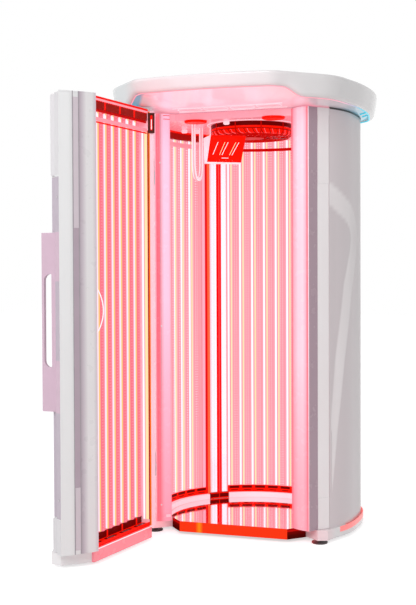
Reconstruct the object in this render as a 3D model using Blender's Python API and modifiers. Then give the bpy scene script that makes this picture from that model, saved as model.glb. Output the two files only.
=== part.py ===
"""Stand-up red light therapy booth: cabin, canopy, ceiling fan, control panel and hinged lamp door.

Metres, +Z up. The origin is on the floor, midway between the sides, and the doorway faces -Y.
The door is drawn closed and then swung open about its hinge pins.
"""
import math

import bmesh
import bpy
from mathutils import Matrix, Vector
from mathutils.geometry import intersect_line_line_2d

# Heights
TOTAL_HEIGHT = 2.250
SEAT_GAP = 0.0004
FOOT_HEIGHT = 0.018
BASE_HEIGHT = 0.050
PLATFORM_DROP = 0.003
CANOPY_HEIGHT = 0.109
CANOPY_STEP = 0.042
CANOPY_CLEARANCE = 0.007
CEILING_THICKNESS = 0.034
CANOPY_LIP_SIDE = TOTAL_HEIGHT - CANOPY_HEIGHT
CANOPY_LIP_FRONT = CANOPY_LIP_SIDE + CANOPY_STEP
CEILING_TOP = CANOPY_LIP_SIDE - CANOPY_CLEARANCE
CEILING_BOTTOM = CEILING_TOP - CEILING_THICKNESS
BASE_TOP = FOOT_HEIGHT + BASE_HEIGHT
PLATFORM_BOTTOM = FOOT_HEIGHT - PLATFORM_DROP
SEAT = BASE_TOP + SEAT_GAP
INSIDE_TOP = CEILING_BOTTOM - SEAT_GAP

# Plan of the round cabin, from its axis outwards
CABIN_MIDDLE = (0.000, 0.085)
KICK_RADIUS = 0.435
KICK_THICKNESS = 0.024
KICK_HEIGHT = 0.026
LAMP_SETBACK = 0.055
LAMP_DIAMETER = 0.036
LAMP_PITCH = 7.94
LAMP_SIDES = 12
LAMP_RAIL_HEIGHT = 0.063
LAMP_UPPER_RAIL = 0.075
RAIL_HALF_DEPTH = 0.022
REFLECTOR_GAP = 0.008
REFLECTOR_THICKNESS = 0.004
SERVICE_SPACE = 0.016
COLUMN_ANGLE = 46.3
COLUMN_HALF_ANGLE = 7.4
COLUMN_GROOVE_ANGLE = 1.2
COLUMN_GROOVE_DEPTH = 0.044
MODULE_GAP_ANGLE = 0.5
SIDE_MODULE_START = -28.0
BACK_LAMPS = 9
BACK_LAMP_SHIFT = -2.05
SIDE_LAMPS = 8
SIDE_LAMP_SHIFT = 2.1
LAMP_RADIUS = KICK_RADIUS + LAMP_SETBACK
REFLECTOR_RADIUS = LAMP_RADIUS + RAIL_HALF_DEPTH + REFLECTOR_GAP
LAMP_BOTTOM = BASE_TOP + LAMP_RAIL_HEIGHT
LAMP_TOP = CEILING_BOTTOM - LAMP_UPPER_RAIL

# Plan of the body: a superellipse that is blunter at the back
BODY_HALF_WIDTH = REFLECTOR_RADIUS + REFLECTOR_THICKNESS + SERVICE_SPACE
BODY_MIDDLE_Y = 0.100
BODY_FRONT_SPACE = 0.065
BODY_BACK_SPACE = 0.100
BODY_FRONT_POWER = 2.2
BODY_BACK_POWER = 2.8
COVER_THICKNESS = 0.008
COVER_FRONT_ANGLE = -29.0
COVER_BACK_ANGLE = 55.0
COVER_JOINT_ANGLE = 0.15
BASE_OVERHANG = 0.012
BASE_FRONT_ANGLE = -24.0
BASE_CORNERS = ((KICK_RADIUS + 0.002, -0.232), (KICK_RADIUS + 0.047, -0.212))
VENT_START_ANGLE = -14.0
VENT_END_ANGLE = 36.0
VENT_HEIGHT = 0.026
BODY_FRONT_DEPTH = KICK_RADIUS + BODY_FRONT_SPACE
BODY_BACK_DEPTH = KICK_RADIUS + BODY_BACK_SPACE

# Platform
PLATFORM_GAP = 0.0025
PLATFORM_RADIUS = KICK_RADIUS - 0.004
PLATFORM_FRONT_Y = -0.243
PLATFORM_FRONT_HALF = 0.285
PLATFORM_CHAMFER_ANGLE = -36.5
BASE_MOUTH_ANGLE = 2.0

# Door posts: the front face of each post runs from an inner to an outer corner
RIGHT_POST_INNER = (0.300, -0.208)
RIGHT_POST_OUTER = (KICK_RADIUS - 0.030, -0.268)
LEFT_POST_INNER = (-0.306, -0.226)
LEFT_POST_OUTER = (0.043 - KICK_RADIUS, -0.288)
POST_STRIP_END = (KICK_RADIUS - 0.002, -0.212)
POST_BULGE = 0.008
POST_SHELF = 0.022
POST_FACE_POINTS = 7
CORNER_STRIP_THICKNESS = 0.006

# Hinges, on the left post's outer corner
HINGE_OFFSET = (-0.008, -0.0065)
HINGE_FROM_ENDS = 0.290
HINGE_LENGTH = 0.120
HINGE_LEAF_WIDTH = 0.040
HINGE_DOOR_LEAF_START = 0.005
HINGE_BARREL_RADIUS = 0.006
HINGE_PIN_RADIUS = 0.003
HINGE_PIN_CLEARANCE = 0.0004
HINGE_XY = (LEFT_POST_OUTER[0] + HINGE_OFFSET[0], LEFT_POST_OUTER[1] + HINGE_OFFSET[1])

# Door, drawn closed
DOOR_OPENING = 94.5
DOOR_BOTTOM = 0.015
DOOR_PLINTH_HEIGHT = 0.057
DOOR_TOP_CLEARANCE = 0.003
DOOR_GAP = 0.006
DOOR_PLATFORM_GAP = 0.007
DOOR_POST_INSET = 0.016
DOOR_KICK_THICKNESS = 0.012
DOOR_KICK_MARGIN = 0.002
DOOR_RAIL_INSET = 0.016
DOOR_STILE_BACK = -0.375
FREE_FACE_BEYOND = 0.015
FREE_END_OFFSET = (0.039, -0.033)
FREE_END_SHOULDER = 0.020
HINGE_FACE_SHORT = 0.008
HINGE_END_OFFSET = (-0.006, -0.0505)
DOOR_COVER_EDGE_X = KICK_RADIUS - 0.047
DOOR_COVER_EDGE_Y = -0.410
DOOR_COVER_FRONT_Y = -0.505
DOOR_COVER_THICKNESS = 0.006
PLINTH_FREE_CORNER = (KICK_RADIUS - 0.035, -0.352)
PLINTH_HINGE_CORNER = (0.039 - KICK_RADIUS, -0.348)
DOOR_LAMP_COUNT = 8
DOOR_LAMP_PITCH = 0.068
DOOR_LAMP_ARC = 1.057
DOOR_LAMP_MIDDLE_Y = -0.335
DOOR_LAMP_RAIL = 0.053
DOOR_UPPER_RAIL = 0.051
DOOR_RAIL_HEIGHT = 0.045
DOOR_PLINTH_TOP = DOOR_BOTTOM + DOOR_PLINTH_HEIGHT
DOOR_TOP = CEILING_TOP - DOOR_TOP_CLEARANCE
DOOR_KICK_Y = PLATFORM_FRONT_Y - DOOR_PLATFORM_GAP
DOOR_STILE_INNER = RIGHT_POST_INNER[0] - DOOR_POST_INSET
DOOR_KICK_HALF = DOOR_STILE_INNER - DOOR_KICK_MARGIN
DOOR_LAMP_BOTTOM = DOOR_PLINTH_TOP + DOOR_LAMP_RAIL
DOOR_LAMP_TOP = DOOR_TOP - DOOR_RAIL_HEIGHT - DOOR_UPPER_RAIL
HINGE_HEIGHTS = (DOOR_PLINTH_TOP + HINGE_FROM_ENDS, DOOR_TOP - HINGE_FROM_ENDS)

# Door furniture
HANDLE_BOTTOM = 0.710
HANDLE_HEIGHT = 0.801
HANDLE_CLEARANCE = 0.0075
HANDLE_THICKNESS = 0.016
HANDLE_INNER_Y = -0.353
HANDLE_WIDTH = 0.084
GRIP_RISE = 0.199
GRIP_HEIGHT = 0.418
GRIP_INSET = 0.033
GRIP_BAR = 0.012
GRIP_ROUND = 0.030
GRIP_INNER_ROUND = 0.004
PULL_MIDDLE = 1.165
PULL_HALF = 0.105
PULL_REACH = 0.032
PULL_SETBACK = 0.030
PULL_RADIUS = 0.004
PULL_POINTS = 13
EDGE_STRIP_WIDTH = 0.025
EDGE_STRIP_INSET = 0.018
EDGE_STRIP_THICKNESS = 0.003
UPPER_STRIP_LENGTH = 0.580
LOWER_STRIP_LENGTH = 0.280
EDGE_STRIP_MARGIN = 0.020
HANDLE_TOP = HANDLE_BOTTOM + HANDLE_HEIGHT
HANDLE_X = DOOR_COVER_EDGE_X + HANDLE_CLEARANCE
HANDLE_OUTER_Y = HANDLE_INNER_Y - HANDLE_WIDTH
GRIP_BOTTOM = HANDLE_BOTTOM + GRIP_RISE
GRIP_TOP = GRIP_BOTTOM + GRIP_HEIGHT
GRIP_INNER_Y = HANDLE_INNER_Y - GRIP_INSET
UPPER_STRIP = (DOOR_TOP - EDGE_STRIP_MARGIN - UPPER_STRIP_LENGTH, DOOR_TOP - EDGE_STRIP_MARGIN)
LOWER_STRIP = (DOOR_PLINTH_TOP + EDGE_STRIP_MARGIN, DOOR_PLINTH_TOP + EDGE_STRIP_MARGIN + LOWER_STRIP_LENGTH)

# Canopy, seen in plan as a rounded octagon: corners beyond the body's half width, y and fillet
CANOPY_CORNERS = ((-0.205, -0.655, 0.060), (0.050, -0.398, 0.260), (0.112, -0.100, 0.200),
                  (0.112, 0.200, 0.200), (0.050, 0.495, 0.160), (-0.195, 0.730, 0.120))
CANOPY_BOW = 0.017
CANOPY_FRONT_SHARE = 0.98
CANOPY_POINTS = 112
CANOPY_WALL = 0.006
CANOPY_LIP_INSET = 0.020
CANOPY_WAIST_INSET = 0.007
CANOPY_EDGE_ROUND = 0.010
CUTOUT_INNER_X = 0.375
CUTOUT_OUTER_X = 0.465
FASCIA_OVERHANG = 0.004
FASCIA_THICKNESS = 0.022
FASCIA_FRONT_Y = -0.330
FASCIA_FRONT_HALF = 0.330
FASCIA_BOW = 0.011
CEILING_LAP = 0.013
CEILING_LAP_Y = -0.195
CEILING_LAP_HALF = 0.300
FASCIA_POINTS = 9
SOFFIT_GAP = 0.0015
SOFFIT_RISE = 0.010
SOFFIT_THICKNESS = 0.005
SOFFIT_MIDDLE = (0.0, 0.05)
LIGHT_STRIP_HEIGHT = 0.006
LIGHT_STRIP_WIDTH = 0.014
LIGHT_STRIP_END = 0.004
LIGHT_STRIP_GAP = 0.0009

# Ceiling fan
FAN_MIDDLE = CABIN_MIDDLE
FAN_HOLE_RADIUS = 0.190
GUARD_REACH = 0.022
GUARD_DEPTH = 0.070
GUARD_CORNER = 0.018
GUARD_WIRE = 0.0035
GUARD_SPOKE = 0.003
GUARD_RINGS = 3
GUARD_SPOKES = 10
GUARD_SPOKE_PHASE = 13.0
GUARD_PLATE_RIM = 0.014
GUARD_PLATE_THICKNESS = 0.004
MOTOR_RADIUS = 0.050
MOTOR_HEIGHT = 0.026
MOTOR_EDGE = 0.005
SHAFT_RADIUS = 0.006
SHAFT_LENGTH = 0.020
SHAFT_CLEARANCE = 0.0004
ROTOR_HUB_RADIUS = 0.046
ROTOR_HEIGHT = 0.024
ROTOR_GAP = 0.002
BLADE_COUNT = 5
BLADE_TIP_GAP = 0.018
BLADE_ROOT = 0.009
BLADE_THICKNESS = 0.003
BLADE_PITCH = 24.0
BLADE_WIDTH = 0.058
GUARD_RADIUS = FAN_HOLE_RADIUS + GUARD_REACH
GUARD_BOTTOM = CEILING_BOTTOM - GUARD_DEPTH
GUARD_PLATE_RADIUS = MOTOR_RADIUS + GUARD_PLATE_RIM
BLADE_TIP_RADIUS = FAN_HOLE_RADIUS - BLADE_TIP_GAP

# Ceiling fittings
CEILING_POST_INSET = 0.004
CEILING_CORNER_INSET = 0.010
SPEAKER_PLACE = (0.2055, -0.198)
SPEAKER_RADIUS = 0.0575
SPEAKER_HEIGHT = 0.012
SPEAKER_EDGE = 0.005
GRAB_START = (0.173 - KICK_RADIUS, -0.105)
GRAB_END = (0.135 - KICK_RADIUS, 0.105)
GRAB_DROP = 0.288
GRAB_RADIUS = 0.011
GRAB_CORNER = 0.055
GRAB_CORNER_STEPS = 6
PANEL_MIDDLE = (-0.113, -0.034)
PANEL_YAW = 35.0
PANEL_TOP_WIDTH = 0.186
PANEL_BOTTOM_WIDTH = 0.182
PANEL_HEIGHT = 0.134
PANEL_TOP_DEPTH = 0.155
PANEL_BOTTOM_DEPTH = 0.050
PANEL_LEAN = 0.090
SCREEN_MARGIN = 0.008
SCREEN_BOTTOM_MARGIN = 0.034
SCREEN_HEIGHT = 0.118
SCREEN_THICKNESS = 0.003
BUTTON_RADIUS = 0.008
BUTTON_HEIGHT = 0.005
BUTTON_CLEARANCE = 0.0006
BUTTON_SPACING = 0.034
BUTTON_COUNT = 3
BUTTON_RISE = 0.015
BUTTON_POCKET = 0.004
GRAB_BOTTOM = CEILING_BOTTOM - GRAB_DROP
PANEL_BOTTOM = GUARD_BOTTOM - PANEL_HEIGHT

# Feet and electrics
FOOT_RADIUS = 0.040
FOOT_STEM_LENGTH = 0.007
FOOT_STEM_RADIUS = 0.010
FOOT_EDGE = 0.003
FOOT_PAD_HEIGHT = FOOT_HEIGHT - FOOT_STEM_LENGTH
FRONT_FOOT = (KICK_RADIUS + 0.003, -0.198)
REAR_FOOT = (KICK_RADIUS - 0.055, KICK_RADIUS + 0.010)
FEET = {"front_right": FRONT_FOOT, "front_left": (-FRONT_FOOT[0], FRONT_FOOT[1]),
        "rear_right": REAR_FOOT, "rear_left": (-REAR_FOOT[0], REAR_FOOT[1])}
DRIVER_SIZE = (0.300, 0.160, 0.070)
DRIVER_Y = CABIN_MIDDLE[1] + KICK_RADIUS - 0.090
INLET_RISE = 0.132
INLET_SIZE = (0.060, 0.028, 0.048)
INLET_WALL = 0.006

ARC_STEP = 6.0


def clear_scene():
    for item in list(bpy.data.objects):
        bpy.data.objects.remove(item, do_unlink=True)


def new_collection(name):
    group = bpy.data.collections.new(name)
    bpy.context.scene.collection.children.link(group)
    return group


def make_material(name, colour, roughness, metallic=0.0):
    finish = bpy.data.materials.new(name)
    finish.use_nodes = True
    shader = finish.node_tree.nodes["Principled BSDF"]
    shader.inputs["Base Color"].default_value = (*colour, 1.0)
    shader.inputs["Roughness"].default_value = roughness
    shader.inputs["Metallic"].default_value = metallic
    return finish


clear_scene()
BOOTH = new_collection("red_light_booth")
CUTTERS = new_collection("cutters")
MATERIALS = {
    "white_gloss": make_material("white_gloss", (0.86, 0.85, 0.86), 0.22),
    "grey_satin": make_material("grey_satin", (0.50, 0.45, 0.49), 0.40),
    "aluminium": make_material("aluminium", (0.80, 0.78, 0.80), 0.30, 1.0),
    "steel": make_material("steel", (0.62, 0.62, 0.64), 0.28, 1.0),
    "mirror": make_material("mirror", (0.92, 0.90, 0.90), 0.04, 1.0),
    "lamp": make_material("lamp", (1.00, 0.62, 0.60), 0.30),
    "blue_light": make_material("blue_light", (0.25, 0.80, 0.95), 0.30),
    "red_plastic": make_material("red_plastic", (0.75, 0.05, 0.03), 0.30),
    "black_rubber": make_material("black_rubber", (0.03, 0.03, 0.03), 0.70),
    "dark_plastic": make_material("dark_plastic", (0.06, 0.05, 0.05), 0.40),
    "screen": make_material("screen", (0.10, 0.01, 0.01), 0.08),
}

DOOR_PIVOT = bpy.data.objects.new("door_pivot", None)
BOOTH.objects.link(DOOR_PIVOT)
DOOR_PIVOT.location = (*HINGE_XY, 0.0)


def polar(radius, degrees, middle=CABIN_MIDDLE):
    turn = math.radians(degrees)
    return (middle[0] + radius * math.cos(turn), middle[1] + radius * math.sin(turn))


def arc(radius, start, end, middle=CABIN_MIDDLE, step=ARC_STEP):
    count = max(2, math.ceil(abs(end - start) / step))
    return [polar(radius, start + (end - start) * i / count, middle) for i in range(count + 1)]


def sector(inner, outer, start, end):
    return arc(inner, start, end) + arc(outer, end, start)


def mirrored(points):
    return [(-x, y) for x, y in reversed(points)]


def direction(start, end):
    return (Vector(end) - Vector(start)).normalized()


def along(start, end, distance, side=0.0):
    """The point at a distance from start towards end, moved to the left of that line by side."""
    run = direction(start, end)
    spot = Vector(start) + run * distance + Vector((-run.y, run.x)) * side
    return (spot.x, spot.y)


def shifted(points, distance):
    """An open line of points, moved to its right by a distance."""
    result = []
    for i, point in enumerate(points):
        before = points[max(i - 1, 0)]
        after = points[min(i + 1, len(points) - 1)]
        run = direction(before, after)
        result.append((point[0] + run.y * distance, point[1] - run.x * distance))
    return result


def body_point(degrees):
    """A point of the body's outline; 0 degrees is the right side and 90 degrees is the back."""
    turn = math.radians(degrees)
    back = math.sin(turn) >= 0.0
    power = 2.0 / (BODY_BACK_POWER if back else BODY_FRONT_POWER)
    depth = BODY_BACK_DEPTH if back else BODY_FRONT_DEPTH
    x = math.copysign(abs(math.cos(turn)) ** power, math.cos(turn)) * BODY_HALF_WIDTH
    y = math.copysign(abs(math.sin(turn)) ** power, math.sin(turn)) * depth + BODY_MIDDLE_Y
    return (x, y)


def body_line(start, end, step=ARC_STEP):
    count = max(2, math.ceil(abs(end - start) / step))
    return [body_point(start + (end - start) * i / count) for i in range(count + 1)]


def wall(line, thickness):
    """A wall along an open line whose outer side is the line itself."""
    return line + list(reversed(shifted(line, -thickness)))


def rounded_polygon(corners, step=18.0):
    """A closed outline through corners given as x, y and fillet radius."""
    result = []
    for i, (x, y, radius) in enumerate(corners):
        here = Vector((x, y))
        to_before = direction(here, corners[i - 1][:2])
        to_after = direction(here, corners[(i + 1) % len(corners)][:2])
        half = to_before.angle(to_after) / 2.0
        reach = radius / math.tan(half)
        middle = here + (to_before + to_after).normalized() * (radius / math.sin(half))
        start = here + to_before * reach - middle
        sweep = (here + to_after * reach - middle).angle_signed(start)
        count = max(2, math.ceil(abs(math.degrees(sweep)) / step))
        for k in range(count + 1):
            spot = middle + Matrix.Rotation(sweep * k / count, 2) @ start
            result.append((spot.x, spot.y))
    return result


def resampled(outline, count):
    """A closed outline as evenly spaced points."""
    loop = [Vector(p) for p in outline] + [Vector(outline[0])]
    lengths = [(b - a).length for a, b in zip(loop, loop[1:])]
    spacing = sum(lengths) / count
    result = []
    travelled = 0.0
    wanted = 0.0
    for a, b, length in zip(loop, loop[1:], lengths):
        while wanted < travelled + length - 1e-9 and len(result) < count:
            spot = a.lerp(b, (wanted - travelled) / length)
            result.append((spot.x, spot.y))
            wanted += spacing
        travelled += length
    return result


def keep(item, finish, on_door=False):
    """File an object under the booth, give it its finish and hang door pieces on the pivot."""
    for group in list(item.users_collection):
        group.objects.unlink(item)
    BOOTH.objects.link(item)
    item.data.materials.clear()
    item.data.materials.append(MATERIALS[finish])
    if on_door:
        item.parent = DOOR_PIVOT
        item.location = item.location - Vector((*HINGE_XY, 0.0))
    return item


def mesh_of_curve(curve_object):
    """Turn a curve into a closed mesh object of the same name and place."""
    bpy.context.view_layer.update()
    graph = bpy.context.evaluated_depsgraph_get()
    mesh = bpy.data.meshes.new_from_object(curve_object.evaluated_get(graph))
    shape = bmesh.new()
    shape.from_mesh(mesh)
    bmesh.ops.remove_doubles(shape, verts=shape.verts, dist=1e-6)
    bmesh.ops.recalc_face_normals(shape, faces=shape.faces)
    shape.to_mesh(mesh)
    shape.free()
    name = curve_object.name
    place = curve_object.matrix_world.copy()
    bpy.data.objects.remove(curve_object, do_unlink=True)
    item = bpy.data.objects.new(name, mesh)
    item.matrix_world = place
    CUTTERS.objects.link(item)
    return item


def prism(name, outline, bottom, top, holes=()):
    """An upright prism over a flat outline, with round or other holes."""
    curve = bpy.data.curves.new(name, "CURVE")
    curve.dimensions = "2D"
    curve.fill_mode = "BOTH"
    curve.extrude = (top - bottom) / 2.0
    for loop in (outline, *holes):
        spline = curve.splines.new("POLY")
        spline.points.add(len(loop) - 1)
        for point, (x, y) in zip(spline.points, loop):
            point.co = (x, y, 0.0, 1.0)
        spline.use_cyclic_u = True
    item = bpy.data.objects.new(name, curve)
    CUTTERS.objects.link(item)
    item.location.z = (top + bottom) / 2.0
    return mesh_of_curve(item)


def rod(name, points, radius, closed=False, sides=2):
    """A round bar through points."""
    curve = bpy.data.curves.new(name, "CURVE")
    curve.dimensions = "3D"
    curve.bevel_depth = radius
    curve.bevel_resolution = sides
    curve.use_fill_caps = True
    spline = curve.splines.new("POLY")
    spline.points.add(len(points) - 1)
    for point, spot in zip(spline.points, points):
        point.co = (*spot, 1.0)
    spline.use_cyclic_u = closed
    item = bpy.data.objects.new(name, curve)
    CUTTERS.objects.link(item)
    return mesh_of_curve(item)


def cylinder(name, radius, bottom, top, place=(0.0, 0.0), sides=32):
    bpy.ops.mesh.primitive_cylinder_add(vertices=sides, radius=radius, depth=top - bottom,
                                        location=(*place, (top + bottom) / 2.0))
    item = bpy.context.object
    item.name = name
    return item


def box(name, low, high):
    size = [b - a for a, b in zip(low, high)]
    bpy.ops.mesh.primitive_cube_add(size=1.0, location=[(a + b) / 2.0 for a, b in zip(low, high)])
    item = bpy.context.object
    item.name = name
    item.data.transform(Matrix.Diagonal((*size, 1.0)))
    return item


def turned(name, profile, place, steps=24):
    """A turned solid; the profile runs down its outer side from the axis to the axis."""
    mesh = bpy.data.meshes.new(name)
    shape = bmesh.new()
    spots = [shape.verts.new((radius, 0.0, height)) for radius, height in profile]
    for a, b in zip(spots, spots[1:]):
        shape.edges.new((a, b))
    shape.to_mesh(mesh)
    shape.free()
    item = bpy.data.objects.new(name, mesh)
    CUTTERS.objects.link(item)
    item.location = (*place, 0.0)
    screw = item.modifiers.new("turn", "SCREW")
    screw.steps = steps
    screw.render_steps = steps
    screw.use_merge_vertices = True
    screw.merge_threshold = 0.0001
    return item


def combine(target, tools, operation):
    """Join tools to a target or cut them out of it, and remove the tools."""
    for tool in tools:
        change = target.modifiers.new(operation.lower(), "BOOLEAN")
        change.operation = operation
        change.solver = "EXACT"
        change.object = tool
        bpy.context.view_layer.update()
        graph = bpy.context.evaluated_depsgraph_get()
        mesh = bpy.data.meshes.new_from_object(target.evaluated_get(graph))
        target.modifiers.clear()
        target.data = mesh
        bpy.data.objects.remove(tool, do_unlink=True)
    return target


def smooth(item, degrees=35.0):
    item.data.shade_smooth()
    item.data.set_sharp_from_angle(angle=math.radians(degrees))
    return item


def strap_plan(start, end, inner, thickness):
    """A flat bar standing off the left of a line by inner."""
    length = (Vector(end) - Vector(start)).length
    return [along(start, end, 0.0, inner), along(start, end, length, inner),
            along(start, end, length, inner + thickness), along(start, end, 0.0, inner + thickness)]


MODULES = {
    "right": (SIDE_MODULE_START, COLUMN_ANGLE - COLUMN_HALF_ANGLE - MODULE_GAP_ANGLE,
              SIDE_LAMPS, -SIDE_LAMP_SHIFT),
    "back": (COLUMN_ANGLE + COLUMN_HALF_ANGLE + MODULE_GAP_ANGLE,
             180.0 - COLUMN_ANGLE - COLUMN_HALF_ANGLE - MODULE_GAP_ANGLE, BACK_LAMPS, BACK_LAMP_SHIFT),
    "left": (180.0 - COLUMN_ANGLE + COLUMN_HALF_ANGLE + MODULE_GAP_ANGLE,
             180.0 - SIDE_MODULE_START, SIDE_LAMPS, SIDE_LAMP_SHIFT),
}


def build_feet():
    stem_top = FOOT_HEIGHT - SEAT_GAP
    edge = FOOT_EDGE
    for name, place in FEET.items():
        profile = [(0.0, stem_top), (FOOT_STEM_RADIUS, stem_top), (FOOT_STEM_RADIUS, FOOT_PAD_HEIGHT),
                   (FOOT_RADIUS - edge, FOOT_PAD_HEIGHT), (FOOT_RADIUS, FOOT_PAD_HEIGHT - edge),
                   (FOOT_RADIUS, edge), (FOOT_RADIUS - edge, 0.0), (0.0, 0.0)]
        keep(turned("foot_" + name, profile, place), "black_rubber")
    top = PLATFORM_BOTTOM - SEAT_GAP
    profile = [(0.0, top), (FOOT_RADIUS - edge, top), (FOOT_RADIUS, top - edge), (FOOT_RADIUS, edge),
               (FOOT_RADIUS - edge, 0.0), (0.0, 0.0)]
    keep(turned("foot_centre", profile, (0.0, 0.0)), "black_rubber")


def build_base():
    side = shifted(body_line(BASE_FRONT_ANGLE, 180.0 - BASE_FRONT_ANGLE), BASE_OVERHANG)
    inner_radius = PLATFORM_RADIUS + PLATFORM_GAP
    front_angle = PLATFORM_CHAMFER_ANGLE + BASE_MOUTH_ANGLE
    corners = list(BASE_CORNERS)
    plan = corners + side + mirrored(corners) + arc(inner_radius, 180.0 - front_angle, front_angle)
    ring = prism("base_ring", plan, FOOT_HEIGHT, BASE_TOP)
    vents = []
    reach = BASE_OVERHANG * 2.0
    for start, end in ((VENT_START_ANGLE, VENT_END_ANGLE),
                       (180.0 - VENT_END_ANGLE, 180.0 - VENT_START_ANGLE)):
        line = shifted(body_line(start, end), reach)
        vents.append(prism("vent", wall(line, reach + BASE_OVERHANG), BASE_TOP - VENT_HEIGHT, BASE_TOP + reach))
    keep(combine(ring, vents, "DIFFERENCE"), "white_gloss")

    plan = arc(PLATFORM_RADIUS, PLATFORM_CHAMFER_ANGLE, 180.0 - PLATFORM_CHAMFER_ANGLE)
    plan += [(-PLATFORM_FRONT_HALF, PLATFORM_FRONT_Y), (PLATFORM_FRONT_HALF, PLATFORM_FRONT_Y)]
    keep(prism("platform", plan, PLATFORM_BOTTOM, BASE_TOP - SEAT_GAP), "mirror")


def post_plan(inner, outer, strip_end):
    """A door post's outline for a right-hand post: bulged front face, outer strip, inner return."""
    length = (Vector(outer) - Vector(inner)).length
    face = []
    for i in range(POST_FACE_POINTS):
        share = i / (POST_FACE_POINTS - 1)
        bulge = POST_BULGE * 4.0 * share * (1.0 - share)
        face.append(along(inner, outer, length * share, -bulge))
    cover_start = body_point(COVER_FRONT_ANGLE)
    behind_strip = CORNER_STRIP_THICKNESS + SEAT_GAP
    shelf = [along(strip_end, cover_start, run, behind_strip) for run in (0.0, POST_SHELF)]
    throat = polar(KICK_RADIUS, SIDE_MODULE_START - MODULE_GAP_ANGLE * 2.0)
    return face + [strip_end] + shelf + [throat]


def build_posts():
    flip = {"left": -1.0, "right": 1.0}
    corners = {"right": (RIGHT_POST_INNER, RIGHT_POST_OUTER), "left": (LEFT_POST_INNER, LEFT_POST_OUTER)}
    for side, sign in flip.items():
        inner, outer = ((sign * x, y) for x, y in corners[side])
        plan = [(sign * x, y) for x, y in post_plan(inner, outer, POST_STRIP_END)]
        keep(smooth(prism(side + "_door_post", plan, SEAT, INSIDE_TOP)), "white_gloss")
        cover_start = body_point(COVER_FRONT_ANGLE)
        start = along(POST_STRIP_END, cover_start, SEAT_GAP)
        end = along(cover_start, POST_STRIP_END, CORNER_STRIP_THICKNESS / 2.0)
        plan = [(sign * x, y) for x, y in strap_plan(start, end, 0.0, CORNER_STRIP_THICKNESS)]
        keep(prism(side + "_corner_strip", plan, SEAT, INSIDE_TOP), "white_gloss")


def build_covers():
    top = CEILING_TOP - SEAT_GAP
    line = body_line(COVER_FRONT_ANGLE, COVER_BACK_ANGLE)
    side = wall(line, COVER_THICKNESS)
    keep(smooth(prism("right_side_cover", side, SEAT, top)), "white_gloss")
    keep(smooth(prism("left_side_cover", mirrored(side), SEAT, top)), "white_gloss")
    start = COVER_BACK_ANGLE + COVER_JOINT_ANGLE
    back = wall(body_line(start, 180.0 - start), COVER_THICKNESS)
    keep(smooth(prism("back_cover", back, SEAT, top)), "white_gloss")


def build_lamp_modules():
    for side, (start, end, count, shift) in MODULES.items():
        kick = sector(KICK_RADIUS, KICK_RADIUS + KICK_THICKNESS, start, end)
        keep(smooth(prism(side + "_kick_rail", kick, SEAT, SEAT + KICK_HEIGHT)), "white_gloss")
        back = sector(REFLECTOR_RADIUS, REFLECTOR_RADIUS + REFLECTOR_THICKNESS, start, end)
        keep(smooth(prism(side + "_reflector", back, SEAT, INSIDE_TOP)), "aluminium")

        rail = sector(LAMP_RADIUS - RAIL_HALF_DEPTH, LAMP_RADIUS + RAIL_HALF_DEPTH, start, end)
        bank = prism(side + "_lamp_bank", rail, SEAT, LAMP_BOTTOM)
        tools = [prism("upper_rail", rail, LAMP_TOP, INSIDE_TOP)]
        middle = (start + end) / 2.0 + shift
        for i in range(count):
            place = polar(LAMP_RADIUS, middle + (i - (count - 1) / 2.0) * LAMP_PITCH)
            tools.append(cylinder("lamp", LAMP_DIAMETER / 2.0, LAMP_BOTTOM - RAIL_HALF_DEPTH,
                                  LAMP_TOP + RAIL_HALF_DEPTH, place, LAMP_SIDES))
        keep(combine(bank, tools[1:] + tools[:1], "UNION"), "lamp")


def build_columns():
    """Two-sided mirror columns that hide the joints between the lamp modules."""
    outer = REFLECTOR_RADIUS
    inner = KICK_RADIUS + KICK_THICKNESS / 2.0
    for side, middle in (("right", COLUMN_ANGLE), ("left", 180.0 - COLUMN_ANGLE)):
        start = middle - COLUMN_HALF_ANGLE
        end = middle + COLUMN_HALF_ANGLE
        groove = COLUMN_GROOVE_ANGLE
        depth = COLUMN_GROOVE_DEPTH
        plan = [polar(inner, start + groove), polar(inner, middle - groove),
                polar(inner + depth, middle - groove), polar(inner + depth, middle + groove),
                polar(inner, middle + groove), polar(inner, end - groove),
                polar(outer, end), polar(outer, start)]
        keep(prism(side + "_back_column", plan, SEAT, INSIDE_TOP), "mirror")


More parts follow.
